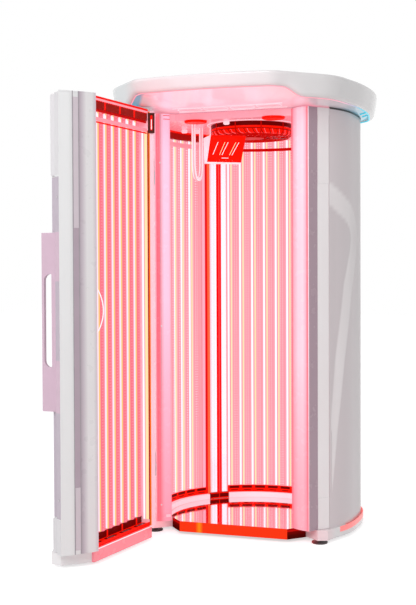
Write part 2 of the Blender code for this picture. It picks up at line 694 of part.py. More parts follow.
def build_ceiling():
    inset = COVER_THICKNESS + SEAT_GAP
    line = shifted(body_line(COVER_FRONT_ANGLE, 180.0 - COVER_FRONT_ANGLE), -inset)
    right_inner = along(RIGHT_POST_INNER, RIGHT_POST_OUTER, 0.0, CEILING_POST_INSET)
    right_outer = along(RIGHT_POST_OUTER, RIGHT_POST_INNER, CEILING_CORNER_INSET, -CEILING_POST_INSET)
    left_inner = along(LEFT_POST_INNER, LEFT_POST_OUTER, 0.0, -CEILING_POST_INSET)
    left_outer = along(LEFT_POST_OUTER, LEFT_POST_INNER, CEILING_CORNER_INSET, CEILING_POST_INSET)
    left_end = (-POST_STRIP_END[0], POST_STRIP_END[1])
    plan = line + [left_end, left_outer, left_inner, right_inner, right_outer, POST_STRIP_END]
    hole = arc(FAN_HOLE_RADIUS, 0.0, 351.0, FAN_MIDDLE, 9.0)
    plate = prism("ceiling_plate", plan, CEILING_BOTTOM, CEILING_TOP, (hole,))
    keep(smooth(plate), "white_gloss")

    for side, sign in (("right", 1.0), ("left", -1.0)):
        low = INSIDE_TOP - SPEAKER_HEIGHT
        edge = SPEAKER_EDGE
        profile = [(0.0, INSIDE_TOP), (SPEAKER_RADIUS, INSIDE_TOP), (SPEAKER_RADIUS, low + edge),
                   (SPEAKER_RADIUS - edge, low), (0.0, low)]
        place = (sign * SPEAKER_PLACE[0], SPEAKER_PLACE[1])
        keep(turned("ceiling_speaker_" + side, profile, place, 28), "red_plastic")

    run = Vector(GRAB_END) - Vector(GRAB_START)
    points = [(*GRAB_START, INSIDE_TOP)]
    for i in range(GRAB_CORNER_STEPS + 1):
        turn = math.radians(90.0 * i / GRAB_CORNER_STEPS)
        reach = GRAB_CORNER * (1.0 - math.cos(turn))
        spot = Vector(GRAB_START) + run.normalized() * reach
        points.append((spot.x, spot.y, GRAB_BOTTOM + GRAB_CORNER * (1.0 - math.sin(turn))))
    other = [(*(Vector(GRAB_START) + run - (Vector(p[:2]) - Vector(GRAB_START))), p[2]) for p in points]
    keep(smooth(rod("hanging_grab_handle", points + other[::-1], GRAB_RADIUS)), "white_gloss")


def build_fan():
    plate_top = GUARD_BOTTOM + GUARD_PLATE_THICKNESS
    guard = cylinder("fan_guard", GUARD_PLATE_RADIUS, GUARD_BOTTOM, plate_top, FAN_MIDDLE, 24)
    tools = []
    level = GUARD_BOTTOM + GUARD_WIRE
    corner = GUARD_RADIUS - GUARD_CORNER
    for i in range(GUARD_RINGS):
        radius = GUARD_PLATE_RADIUS + (corner - GUARD_PLATE_RADIUS) * (i + 1) / GUARD_RINGS
        loop = [(*spot, level) for spot in arc(radius, 0.0, 345.0, FAN_MIDDLE, 15.0)]
        tools.append(rod("ring", loop, GUARD_WIRE, True, 0))
    for i in range(GUARD_SPOKES):
        turn = 360.0 * i / GUARD_SPOKES + GUARD_SPOKE_PHASE
        stops = (((GUARD_PLATE_RADIUS + MOTOR_RADIUS) / 2.0 + GUARD_WIRE, level), (corner, level),
                 (GUARD_RADIUS, level + GUARD_CORNER), (GUARD_RADIUS, INSIDE_TOP))
        path = [(*polar(radius, turn, FAN_MIDDLE), height) for radius, height in stops]
        tools.append(rod("spoke", path, GUARD_SPOKE, False, 0))
    keep(combine(guard, tools, "UNION"), "red_plastic")

    motor_low = plate_top + SEAT_GAP
    motor_top = motor_low + MOTOR_HEIGHT
    rotor_low = motor_top + ROTOR_GAP
    shaft_top = motor_top + SHAFT_LENGTH
    edge = MOTOR_EDGE
    profile = [(0.0, shaft_top), (SHAFT_RADIUS, shaft_top), (SHAFT_RADIUS, motor_top),
               (MOTOR_RADIUS - edge, motor_top), (MOTOR_RADIUS, motor_top - edge),
               (MOTOR_RADIUS, motor_low), (0.0, motor_low)]
    keep(turned("fan_motor", profile, FAN_MIDDLE, 28), "dark_plastic")

    rotor = cylinder("fan_rotor", ROTOR_HUB_RADIUS, rotor_low, rotor_low + ROTOR_HEIGHT, FAN_MIDDLE, 28)
    blades = []
    for i in range(BLADE_COUNT):
        turn = Matrix.Rotation(2.0 * math.pi * i / BLADE_COUNT, 4, "Z")
        tilt = Matrix.Rotation(math.radians(BLADE_PITCH), 4, "X")
        root = ROTOR_HUB_RADIUS - BLADE_ROOT
        blade = box("blade", (root, -BLADE_WIDTH / 2.0, -BLADE_THICKNESS / 2.0),
                    (BLADE_TIP_RADIUS, BLADE_WIDTH / 2.0, BLADE_THICKNESS / 2.0))
        lift = Matrix.Translation((*FAN_MIDDLE, rotor_low + ROTOR_HEIGHT / 2.0))
        slide = Matrix.Translation(blade.location)
        blade.matrix_world = lift @ turn @ tilt @ slide
        blades.append(blade)
    combine(rotor, blades, "UNION")
    bore = cylinder("bore", SHAFT_RADIUS + SHAFT_CLEARANCE, rotor_low - ROTOR_GAP,
                    shaft_top + SHAFT_CLEARANCE, FAN_MIDDLE, 28)
    keep(combine(rotor, [bore], "DIFFERENCE"), "red_plastic")


def loft(name, rings):
    """A closed solid through flat rings of equally many points."""
    mesh = bpy.data.meshes.new(name)
    shape = bmesh.new()
    loops = [[shape.verts.new(p) for p in ring] for ring in rings]
    for low, high in zip(loops, loops[1:]):
        count = len(low)
        for i in range(count):
            j = (i + 1) % count
            shape.faces.new((low[i], low[j], high[j], high[i]))
    shape.faces.new(list(reversed(loops[0])))
    shape.faces.new(loops[-1])
    bmesh.ops.recalc_face_normals(shape, faces=shape.faces)
    shape.to_mesh(mesh)
    shape.free()
    item = bpy.data.objects.new(name, mesh)
    CUTTERS.objects.link(item)
    return item


def build_control_panel():
    """A wedge under the fan guard, with a glossy screen and keys on its leaning front."""
    def level(width, front, depth, z):
        half = width / 2.0
        return [(-half, front, z), (half, front, z), (half, front + depth, z), (-half, front + depth, z)]

    place = Matrix.Translation((*PANEL_MIDDLE, 0.0)) @ Matrix.Rotation(math.radians(PANEL_YAW), 4, "Z")
    panel_top = GUARD_BOTTOM - SEAT_GAP
    housing = loft("control_panel_housing", [
        level(PANEL_BOTTOM_WIDTH, 0.0, PANEL_BOTTOM_DEPTH, PANEL_BOTTOM),
        level(PANEL_TOP_WIDTH, -PANEL_LEAN, PANEL_TOP_DEPTH, panel_top)])
    housing.matrix_world = place
    rise = panel_top - PANEL_BOTTOM
    lean = math.atan2(PANEL_LEAN, rise)
    face = place @ Matrix.Translation((0.0, 0.0, PANEL_BOTTOM)) @ Matrix.Rotation(lean, 4, "X")
    half = PANEL_BOTTOM_WIDTH / 2.0 - SCREEN_MARGIN
    screen = box("control_screen", (-half, -SCREEN_THICKNESS - SEAT_GAP, SCREEN_BOTTOM_MARGIN),
                 (half, -SEAT_GAP, SCREEN_BOTTOM_MARGIN + SCREEN_HEIGHT))
    screen.matrix_world = face @ Matrix.Translation(screen.location)
    keep(screen, "screen")
    pockets = []
    for i in range(BUTTON_COUNT):
        offset = (i - (BUTTON_COUNT - 1) / 2.0) * BUTTON_SPACING
        spin = Matrix.Rotation(math.radians(90.0), 4, "X")
        spot = face @ Matrix.Translation((offset, 0.0, BUTTON_RISE)) @ spin
        pocket = cylinder("pocket", BUTTON_RADIUS + BUTTON_CLEARANCE, -BUTTON_POCKET, BUTTON_POCKET, sides=24)
        pocket.matrix_world = spot
        pockets.append(pocket)
        key = cylinder("control_key_%d" % (i + 1), BUTTON_RADIUS, -BUTTON_HEIGHT / 2.0,
                       BUTTON_HEIGHT / 2.0, sides=24)
        key.matrix_world = spot @ Matrix.Translation((0.0, 0.0, BUTTON_HEIGHT / 2.0 - BUTTON_POCKET / 2.0))
        keep(key, "white_gloss")
    keep(combine(housing, pockets, "DIFFERENCE"), "white_gloss")


def canopy_outline():
    right = [(BODY_HALF_WIDTH + x, y, r) for x, y, r in CANOPY_CORNERS]
    left = [(-x, y, r) for x, y, r in reversed(right)]
    outline = resampled(rounded_polygon(right + left), CANOPY_POINTS)
    front = right[0]
    result = []
    for x, y in outline:
        if y < front[1] * CANOPY_FRONT_SHARE:
            y -= CANOPY_BOW * max(0.0, 1.0 - (x / front[0]) ** 2)
        result.append((x, y))
    return result


def inset_loop(outline, distance):
    result = []
    for i, point in enumerate(outline):
        run = direction(outline[i - 1], outline[(i + 1) % len(outline)])
        result.append((point[0] - run.y * distance, point[1] + run.x * distance))
    return result


def lip_height(x, y):
    """The canopy's lower edge, which steps up over the doorway in an S-shaped curve."""
    if y > 0.0:
        return CANOPY_LIP_SIDE
    share = (CUTOUT_OUTER_X - abs(x)) / (CUTOUT_OUTER_X - CUTOUT_INNER_X)
    share = min(max(share, 0.0), 1.0)
    ease = share * share * (3.0 - 2.0 * share)
    return CANOPY_LIP_SIDE + (CANOPY_LIP_FRONT - CANOPY_LIP_SIDE) * ease


def build_canopy():
    outline = canopy_outline()
    lips = [lip_height(x, y) for x, y in outline]
    shoulder = TOTAL_HEIGHT - CANOPY_EDGE_ROUND
    rings = [[(x, y, z) for (x, y), z in zip(inset_loop(outline, CANOPY_LIP_INSET), lips)]]
    half = inset_loop(outline, CANOPY_WAIST_INSET)
    rings.append([(x, y, (z + shoulder) / 2.0) for (x, y), z in zip(half, lips)])
    rings.append([(x, y, shoulder) for x, y in outline])
    for i in (1, 2):
        turn = math.radians(45.0 * i)
        loop = inset_loop(outline, CANOPY_EDGE_ROUND * (1.0 - math.cos(turn)))
        rings.append([(x, y, shoulder + CANOPY_EDGE_ROUND * math.sin(turn)) for x, y in loop])
    mesh = bpy.data.meshes.new("canopy_shell")
    shape = bmesh.new()
    loops = [[shape.verts.new(p) for p in ring] for ring in rings]
    for low, high in zip(loops, loops[1:]):
        for i in range(len(low)):
            j = (i + 1) % len(low)
            shape.faces.new((low[i], low[j], high[j], high[i]))
    shape.faces.new(loops[-1])
    shape.to_mesh(mesh)
    shape.free()
    shell = bpy.data.objects.new("canopy_shell", mesh)
    thick = shell.modifiers.new("wall", "SOLIDIFY")
    thick.thickness = CANOPY_WALL
    thick.offset = -1.0
    CUTTERS.objects.link(shell)
    keep(smooth(shell, 30.0), "white_gloss")


def fascia_line(outward, front_y, half, bow):
    """A line round the body's sides and back, closed across the doorway by a bowed front."""
    start = COVER_FRONT_ANGLE
    side = shifted(body_line(start, 180.0 - start), outward)
    front = []
    for i in range(FASCIA_POINTS):
        share = -1.0 + 2.0 * i / (FASCIA_POINTS - 1)
        front.append((half * share, front_y - bow * (1.0 - share * share)))
    return side + front


def at_angle(loop, spot):
    """Where the ray from the soffit's middle through a spot crosses a closed loop."""
    start = Vector(SOFFIT_MIDDLE)
    end = start + (Vector(spot) - start) * 2.0
    for a, b in zip(loop, loop[1:] + loop[:1]):
        hit = intersect_line_line_2d(start, end, Vector(a), Vector(b))
        if hit is not None:
            return (hit.x, hit.y)
    return spot


def ring_solid(name, sections, closed=True):
    """A solid swept through cross-sections of equally many corners, closed into a ring or capped."""
    mesh = bpy.data.meshes.new(name)
    shape = bmesh.new()
    loops = [[shape.verts.new(corner) for corner in section] for section in sections]
    pairs = list(zip(loops, loops[1:]))
    if closed:
        pairs.append((loops[-1], loops[0]))
    else:
        shape.faces.new(loops[0])
        shape.faces.new(loops[-1])
    for here, there in pairs:
        for i in range(len(here)):
            j = (i + 1) % len(here)
            shape.faces.new((here[i], here[j], there[j], there[i]))
    bmesh.ops.recalc_face_normals(shape, faces=shape.faces)
    shape.to_mesh(mesh)
    shape.free()
    item = bpy.data.objects.new(name, mesh)
    CUTTERS.objects.link(item)
    return item


def build_header():
    """The sloped soffit from the canopy's lip in to the ceiling, its flange and the light line on it."""
    top = TOTAL_HEIGHT - CANOPY_WALL - SEAT_GAP
    low = CEILING_TOP + SEAT_GAP
    outline = canopy_outline()
    rim = inset_loop(outline, CANOPY_LIP_INSET + CANOPY_WALL + SOFFIT_GAP)
    outer = fascia_line(FASCIA_OVERHANG, FASCIA_FRONT_Y - FASCIA_OVERHANG, FASCIA_FRONT_HALF, FASCIA_BOW)
    inner = inset_loop(outer, FASCIA_THICKNESS)
    lap_line = fascia_line(FASCIA_OVERHANG - FASCIA_THICKNESS - CEILING_LAP, CEILING_LAP_Y, CEILING_LAP_HALF, 0.0)
    sections = []
    lights = []
    for (x, y), edge in zip(outline, rim):
        rise = lip_height(x, y) + SOFFIT_RISE
        knee = at_angle(outer, edge)
        bore = at_angle(inner, edge)
        lap = at_angle(lap_line, edge)
        above = low + SOFFIT_THICKNESS
        sections.append([(*edge, rise), (*knee, low), (*lap, low), (*lap, above), (*bore, above), (*bore, top),
                         (*knee, top), (*knee, above), (*edge, rise + SOFFIT_THICKNESS)])
        run = (Vector(knee) - Vector(edge)).length
        share = LIGHT_STRIP_WIDTH / run
        inside = Vector(edge).lerp(Vector(knee), share)
        high = rise - LIGHT_STRIP_GAP
        high_inside = rise + (low - rise) * share - LIGHT_STRIP_GAP
        if lip_height(x, y) < CANOPY_LIP_FRONT - LIGHT_STRIP_END:
            lights.append([(*edge, high), (*inside, high_inside), (*inside, high_inside - LIGHT_STRIP_HEIGHT),
                           (*edge, high - LIGHT_STRIP_HEIGHT)])
    keep(smooth(ring_solid("header_fascia", sections)), "white_gloss")
    keep(smooth(ring_solid("blue_light_strip", lights, False)), "blue_light")

    low = (-DRIVER_SIZE[0] / 2.0, DRIVER_Y - DRIVER_SIZE[1] / 2.0, CEILING_TOP + SEAT_GAP)
    high = (DRIVER_SIZE[0] / 2.0, DRIVER_Y + DRIVER_SIZE[1] / 2.0, CEILING_TOP + SEAT_GAP + DRIVER_SIZE[2])
    keep(box("lamp_driver_box", low, high), "aluminium")


def build_inlet():
    """The mains socket, let into the back cover's outer face near the floor."""
    outside = body_point(90.0)[1] + SEAT_GAP
    middle = BASE_TOP + INLET_RISE
    low = (-INLET_SIZE[0] / 2.0, outside, middle - INLET_SIZE[2] / 2.0)
    high = (INLET_SIZE[0] / 2.0, outside + INLET_SIZE[1], middle + INLET_SIZE[2] / 2.0)
    frame = box("power_inlet", low, high)
    well = box("well", (low[0] + INLET_WALL, low[1] + INLET_WALL, low[2] + INLET_WALL),
               (high[0] - INLET_WALL, high[1] + INLET_WALL, high[2] - INLET_WALL))
    keep(combine(frame, [well], "DIFFERENCE"), "dark_plastic")


def door_lamp_y(x, radius=DOOR_LAMP_ARC):
    """The door's lamps lie on a shallow arc that is hollow towards the cabin."""
    middle = DOOR_LAMP_MIDDLE_Y + DOOR_LAMP_ARC
    return middle - math.sqrt(radius * radius - x * x)


def door_band(inner, outer, half, count=10):
    """A curved band across the door, between two arcs of the lamp circle's centre."""
    xs = [-half + 2.0 * half * i / count for i in range(count + 1)]
    near = [(x, door_lamp_y(x, DOOR_LAMP_ARC + inner)) for x in xs]
    far = [(x, door_lamp_y(x, DOOR_LAMP_ARC + outer)) for x in reversed(xs)]
    return near + far


FREE_FACE = (along(RIGHT_POST_INNER, RIGHT_POST_OUTER, 0.0, -DOOR_GAP - POST_BULGE),
             along(RIGHT_POST_OUTER, RIGHT_POST_INNER, -FREE_FACE_BEYOND, DOOR_GAP + POST_BULGE))
HINGE_FACE = (along(LEFT_POST_INNER, LEFT_POST_OUTER, 0.0, DOOR_GAP + POST_BULGE),
              along(LEFT_POST_OUTER, LEFT_POST_INNER, HINGE_FACE_SHORT, -DOOR_GAP - POST_BULGE))
FREE_END = (FREE_FACE[1][0] + FREE_END_OFFSET[0], FREE_FACE[1][1] + FREE_END_OFFSET[1])
HINGE_END = (HINGE_XY[0] + HINGE_END_OFFSET[0], HINGE_XY[1] + HINGE_END_OFFSET[1])


def build_door_frame():
    notch_y = HANDLE_INNER_Y + SEAT_GAP
    notch_x = HANDLE_X - SEAT_GAP
    back = DOOR_STILE_BACK
    inner = DOOR_STILE_INNER
    kick_back = DOOR_KICK_Y - DOOR_KICK_THICKNESS
    plinth_seat = DOOR_PLINTH_TOP + SEAT_GAP
    rail_top = DOOR_TOP - SEAT_GAP
    free = [(inner, back), (notch_x, back), (notch_x, notch_y), (FREE_END[0] - FREE_END_SHOULDER, notch_y),
            FREE_END, FREE_FACE[1], FREE_FACE[0], (inner, kick_back)]
    keep(smooth(prism("door_free_stile", free, plinth_seat, rail_top), 20.0), "white_gloss", True)
    hinge = [(-inner, back), (-inner, kick_back), HINGE_FACE[0], HINGE_FACE[1], HINGE_END,
             (-DOOR_COVER_EDGE_X, back)]
    keep(smooth(prism("door_hinge_stile", hinge, plinth_seat, rail_top), 20.0), "white_gloss", True)

    half = inner - SEAT_GAP
    rail_front = DOOR_KICK_Y - DOOR_RAIL_INSET
    rail = [(-half, back), (half, back), (half, rail_front), (-half, rail_front)]
    keep(prism("door_top_rail", rail, DOOR_TOP - DOOR_RAIL_HEIGHT, rail_top), "white_gloss", True)

    front = [(x, DOOR_COVER_EDGE_Y - (DOOR_COVER_EDGE_Y - DOOR_COVER_FRONT_Y)
              * (1.0 - (x / DOOR_COVER_EDGE_X) ** 2)) for x in
             [DOOR_COVER_EDGE_X * (i / 6.0 - 1.0) for i in range(13)]]
    kick_y = kick_back - SEAT_GAP
    plinth = front + [PLINTH_FREE_CORNER, (inner, kick_y), (-inner, kick_y), PLINTH_HINGE_CORNER]
    keep(prism("door_plinth", plinth, DOOR_BOTTOM, DOOR_PLINTH_TOP), "white_gloss", True)
    plate = [(-DOOR_KICK_HALF, kick_back), (DOOR_KICK_HALF, kick_back),
             (DOOR_KICK_HALF, DOOR_KICK_Y), (-DOOR_KICK_HALF, DOOR_KICK_Y)]
    keep(prism("door_kick_plate", plate, DOOR_BOTTOM, DOOR_PLINTH_TOP), "white_gloss", True)

    rim = [(-DOOR_COVER_EDGE_X, back - SEAT_GAP)] + front + [(DOOR_COVER_EDGE_X, back - SEAT_GAP)]
    cover = wall(rim, DOOR_COVER_THICKNESS)
    keep(smooth(prism("door_outer_cover", cover, plinth_seat, rail_top)), "white_gloss", True)


def build_door_lamps():
    half = DOOR_STILE_INNER - SEAT_GAP * 2.0
    seat = DOOR_PLINTH_TOP + SEAT_GAP
    top = DOOR_TOP - DOOR_RAIL_HEIGHT - SEAT_GAP
    back = door_band(RAIL_HALF_DEPTH + SEAT_GAP, RAIL_HALF_DEPTH + REFLECTOR_THICKNESS, half)
    keep(smooth(prism("door_reflector", back, seat, top)), "aluminium", True)
    rail = door_band(-RAIL_HALF_DEPTH, RAIL_HALF_DEPTH, half)
    bank = prism("door_lamp_bank", rail, seat, DOOR_LAMP_BOTTOM)
    tools = []
    for i in range(DOOR_LAMP_COUNT):
        x = (i - (DOOR_LAMP_COUNT - 1) / 2.0) * DOOR_LAMP_PITCH
        tools.append(cylinder("lamp", LAMP_DIAMETER / 2.0, DOOR_LAMP_BOTTOM - RAIL_HALF_DEPTH,
                              DOOR_LAMP_TOP + RAIL_HALF_DEPTH, (x, door_lamp_y(x)), LAMP_SIDES))
    tools.append(prism("upper_rail", rail, DOOR_LAMP_TOP, top))
    keep(combine(bank, tools, "UNION"), "lamp", True)


def build_door_furniture():
    outline = [(HANDLE_OUTER_Y, HANDLE_BOTTOM), (HANDLE_INNER_Y, HANDLE_BOTTOM),
               (HANDLE_INNER_Y, HANDLE_TOP), (HANDLE_OUTER_Y, HANDLE_TOP)]
    inner = GRIP_INNER_Y
    outer = HANDLE_OUTER_Y + GRIP_BAR
    grip = rounded_polygon([(outer, GRIP_BOTTOM, GRIP_ROUND), (inner, GRIP_BOTTOM, GRIP_INNER_ROUND),
                            (inner, GRIP_TOP, GRIP_INNER_ROUND), (outer, GRIP_TOP, GRIP_ROUND)])
    handle = prism("door_handle", outline, 0.0, HANDLE_THICKNESS, (grip,))
    handle.data.transform(Matrix(((0, 0, 1, HANDLE_X), (1, 0, 0, 0), (0, 1, 0, 0), (0, 0, 0, 1)))
                          @ handle.matrix_world)
    handle.matrix_world = Matrix.Identity(4)
    keep(handle, "white_gloss", True)

    points = []
    root = DOOR_STILE_INNER - SEAT_GAP
    for i in range(PULL_POINTS):
        share = -1.0 + 2.0 * i / (PULL_POINTS - 1)
        x = root - PULL_RADIUS * 2.0 - PULL_REACH * (1.0 - share * share)
        points.append((x, DOOR_KICK_Y - PULL_SETBACK, PULL_MIDDLE + PULL_HALF * share))
    points = [(root, *points[0][1:])] + points + [(root, *points[-1][1:])]
    keep(smooth(rod("door_inner_pull", points, PULL_RADIUS)), "white_gloss", True)

    length = (Vector(FREE_FACE[1]) - Vector(FREE_FACE[0])).length
    strip_end = length - EDGE_STRIP_INSET
    strip = [along(FREE_FACE[0], FREE_FACE[1], run) for run in (strip_end - EDGE_STRIP_WIDTH, strip_end)]
    plan = strap_plan(*strip, SEAT_GAP, EDGE_STRIP_THICKNESS)
    for name, (low, high) in (("upper", UPPER_STRIP), ("lower", LOWER_STRIP)):
        keep(prism("door_%s_seal_strip" % name, plan, low, high), "grey_satin", True)


def build_hinges():
    door_face = (HINGE_FACE[1], HINGE_END)
    post_face = (LEFT_POST_OUTER, (-POST_STRIP_END[0], POST_STRIP_END[1]))
    radius = HINGE_BARREL_RADIUS
    bore_radius = HINGE_PIN_RADIUS + HINGE_PIN_CLEARANCE
    for name, level in zip(("lower", "upper"), HINGE_HEIGHTS):
        low = level - HINGE_LENGTH / 2.0
        high = level + HINGE_LENGTH / 2.0
        spans = {"post": (low, level - SEAT_GAP), "door": (level + SEAT_GAP, high)}
        faces = {"post": (post_face, 1.0, 0.0), "door": (door_face, -1.0, HINGE_DOOR_LEAF_START)}
        for leaf, (bottom, top) in spans.items():
            (start, end), sign, skip = faces[leaf]
            run = direction(start, end)
            out = Vector((-run.y, run.x)) * sign
            reach = (Vector(HINGE_XY) - Vector(start)).dot(out)
            flat = strap_plan(along(start, end, skip), along(start, end, HINGE_LEAF_WIDTH), SEAT_GAP * sign,
                              (reach - radius * 0.55) * sign)
            plate = prism("%s_hinge_%s_leaf" % (name, leaf), flat, bottom, top)
            barrel = cylinder("barrel", radius, bottom, top, HINGE_XY, 20)
            bore = cylinder("bore", bore_radius, low - radius, high + radius, HINGE_XY, 20)
            combine(plate, [barrel], "UNION")
            keep(combine(plate, [bore], "DIFFERENCE"), "steel", leaf == "door")
        pin = cylinder("%s_hinge_pin" % name, HINGE_PIN_RADIUS, low, high, HINGE_XY, 20)
        keep(pin, "steel")


build_feet()
build_base()
build_posts()
build_covers()
build_lamp_modules()
build_columns()
build_ceiling()
build_fan()
build_control_panel()
build_canopy()
build_header()
build_inlet()
build_door_frame()
build_door_lamps()
build_door_furniture()
build_hinges()
DOOR_PIVOT.rotation_euler.z = math.radians(-DOOR_OPENING)
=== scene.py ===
"""Stand-up red light therapy booth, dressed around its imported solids.

Metres, +Z up, doorway towards -Y. Door pieces are drawn closed and then swung open with the door.
"""
import math

import bmesh
import bpy
from mathutils import Matrix, Vector
from mathutils.geometry import intersect_line_line_2d


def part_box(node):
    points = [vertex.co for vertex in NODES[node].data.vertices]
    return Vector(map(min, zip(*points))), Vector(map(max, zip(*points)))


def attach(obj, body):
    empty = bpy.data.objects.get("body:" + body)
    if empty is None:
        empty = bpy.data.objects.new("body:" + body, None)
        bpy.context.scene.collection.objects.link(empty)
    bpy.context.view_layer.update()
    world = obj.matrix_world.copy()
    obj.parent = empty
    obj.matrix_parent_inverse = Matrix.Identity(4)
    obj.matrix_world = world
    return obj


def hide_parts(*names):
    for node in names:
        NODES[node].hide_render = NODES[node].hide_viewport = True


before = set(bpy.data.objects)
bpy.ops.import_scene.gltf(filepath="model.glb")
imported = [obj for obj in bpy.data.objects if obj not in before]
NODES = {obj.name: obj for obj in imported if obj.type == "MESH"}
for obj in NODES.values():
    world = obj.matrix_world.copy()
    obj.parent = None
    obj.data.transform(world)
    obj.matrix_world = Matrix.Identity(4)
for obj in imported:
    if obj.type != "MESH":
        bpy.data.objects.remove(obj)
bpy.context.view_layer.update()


def at(x, y, z=0.0):
    """A place or a step; the places of a plan lie at height 0."""
    return Vector((x, y, z))


RIGHT = at(1.0, 0.0)
BACK = at(0.0, 1.0)
UP = at(0.0, 0.0, 1.0)
SIDES = (("left", -1.0), ("right", 1.0))

# Camera solved from the photo
CAMERA_PLACE = (1.9407, -5.8012, 1.3243)
CAMERA_YAW = 20.397
CAMERA_PITCH = 1.383
CAMERA_ROLL = 0.225
CAMERA_LENS = 70.3
SENSOR_WIDTH = 36.0

# Stage: floor, lamp size, the height that the lamps look at, and each lamp's place and power
FLOOR_SIZE = 60.0
LAMP_SIZE = 3.0
LAMP_AIM = 1.1
LAMPS = {
    "key": (at(0.2, -5.6, 3.8), 130.0),
    "left_fill": (at(-4.2, -3.0, 2.6), 28.0),
    "right_fill": (at(4.5, -3.5, 2.5), 14.0),
}

# Cabin lining, as in the solids
CABIN_MIDDLE = at(0.0, 0.085)
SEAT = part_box("left_kick_rail")[0].z
KICK_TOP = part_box("left_kick_rail")[1].z
INSIDE_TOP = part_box("left_lamp_bank")[1].z
KICK_RADIUS = 0.435
LAMP_RADIUS = 0.49
TUBE_RADIUS = 0.018
TUBE_SIDES = 24
LAMP_PITCH = 7.94
LAMP_BOTTOM = 0.131
RAIL_FRONT = LAMP_RADIUS - 0.022
SLOT_PITCH = 9.5
SIDE_BAR = (2.014, 2.038)
BACK_BAR = (2.01, 2.026)
COMB_PITCH = 1.1
COMB_BOTTOM = 2.052
COLUMN_ANGLE = 46.3
COLUMN_HALF_ANGLE = 7.4
COLUMN_INNER = 0.447
COLUMN_OUTER = 0.52

# Lamp banks: first and last angle, number of lamps, and their shift
BANKS = {
    "right": (-28.0, 38.4, 8, -2.1),
    "back": (54.2, 125.8, 9, -2.05),
    "left": (141.6, 208.0, 8, 2.1),
}

# Body, as in the solids: a superellipse that is blunter at the back
BODY_HALF_WIDTH = 0.54
BODY_MIDDLE_Y = 0.1
BODY_DEPTHS = (0.5, 0.535)
BODY_POWERS = (2.2, 2.8)
COVER_THICKNESS = 0.008
VENT_HEIGHTS = (0.0425, 0.068)
COVER_ANGLES = (-29.0, 55.0)
COVER_LEVELS = 110
COVER_FINE_TURN = 0.6
COVER_FINE_STEPS = 65
COVER_COARSE_STEPS = 14
LEAF_LINE = ((-0.159, 1.78), (-0.03, 1.715), (0.066, 1.67), (0.126, 1.622), (0.165, 1.56), (0.176, 1.496),
             (0.15, 1.4), (0.063, 1.24), (-0.033, 0.89), (-0.099, 0.548), (-0.142, 0.23))
LEAF_DEPTH = 0.007
LEAF_BAND = (0.045, 0.115)
LEAF_BAND_HEIGHTS = (0.3, 1.4)
LEAF_FADE = 0.05
# How sharply the painted light on the leaf's sloped band rises from its edges
LEAF_GAIN = 7.0

# Canopy: a rounded octagon in plan, given by corners with fillets, whose lip steps up over the doorway
CANOPY_CORNERS = ((0.345, -0.65, 0.06), (0.585, -0.405, 0.3), (0.638, -0.1, 1.2),
                  (0.638, 0.2, 1.2), (0.571, 0.495, 0.18), (0.345, 0.725, 0.12))
CANOPY_BOW = 0.03
CANOPY_POINTS = 260
CANOPY_TOP = 2.25
CANOPY_EDGE = 0.008
CANOPY_WALL = 0.052
SOFFIT_INSET = 0.0475
LIGHT_INSET = 0.04
LIP_SIDE = 2.143
LIP_FRONT = 2.185
LIP_STEP = (0.392, 0.47)
LIP_CURL = ((0.05, 0.016), (0.046, 0.006), (0.04, 0.001), (0.034, 0.0), (0.026, 0.003), (0.019, 0.009),
            (0.014, 0.02))
LIP_WALL = ((0.35, 0.0085), (0.6, 0.0045), (0.8, 0.0018), (1.0, 0.0))
SOFFIT_MIDDLE = at(0.0, 0.05)
SOFFIT_LOW = 2.1385
SOFFIT_FRONT_LOW = 2.151
SOFFIT_THICKNESS = 0.006
HEAD_TOP = 2.1335
LAP_Y = -0.195
LAP_HALF = 0.3
KNEE_Y = -0.34

# Posts: outer and inner edge of the left face, inner and outer edge of the right one, and the corner strip
LEFT_POST = (at(-0.392, -0.288), at(-0.3284, -0.2421))
RIGHT_POST = (at(0.3, -0.208), at(0.405, -0.268))
STRIP = (at(0.433, -0.212), at(0.478, -0.159))
POST_BULGE = 0.008
POST_STEPS = 20
POST_BACK = at(0.445, -0.188)
POST_LINING_ANGLE = 121.0
STRIP_CAPS = ((SEAT + 0.002, 0.223), (1.764, HEAD_TOP))
STRIP_SCREW = 1.712

# The left post's screws: share across its face, and height
POST_SCREWS = ((0.31, 1.887), (0.36, 1.061), (0.3, 0.152))

# Door, as in the solids
HINGE = at(-0.4, -0.2945)
DOOR_OPENING = 94.5
DOOR_SWING = (Matrix.Translation(HINGE) @ Matrix.Rotation(math.radians(-DOOR_OPENING), 4, "Z")
              @ Matrix.Translation(-HINGE))
DOOR_LAMP_Y = -0.318
DOOR_LAMP_FIRST = -0.2575
DOOR_LAMP_PITCH = 0.0722
DOOR_LAMP_COUNT = 8
DOOR_LAMP_HALF = 0.283
DOOR_LAMP_ENDS = (0.119, 2.08)
DOOR_TEETH = 64
TEETH_IN_GROUP = 16
TEETH_LEFT_OUT = 2
DOOR_TOP = 2.131
DOOR_PLINTH_TOP = 0.072
DOOR_INSIDE_Y = -0.262
COVER_EDGE_X = 0.388
COVER_EDGE_Y = -0.394
COVER_FRONT_Y = -0.505
COVER_STEPS = 48
STILE_BACK = -0.3755
NOTCH_X = 0.3951
NOTCH_Y = -0.3537
FREE_END = at(0.45, -0.3206)
FREE_FACE = (at(0.411, -0.2876), at(0.293, -0.2202))
HINGE_SIDE_FACE = (at(-0.284, -0.262), at(-0.2978, -0.2374))
HINGE_CAP = ((-0.284, -0.266), (-0.284, -0.335), (-0.38, -0.335), (-0.38, -0.303), (-0.335, -0.27))
EXTRUSION = (0.048, 0.1355)
EXTRUSION_STEPS = 14
EXTRUSION_BULGE = 0.0046
EDGE_CAPS = ((DOOR_PLINTH_TOP + 0.002, 0.231), (1.765, DOOR_TOP - 0.002))
HANDLE = (0.708, 0.942, 1.294, 1.513)
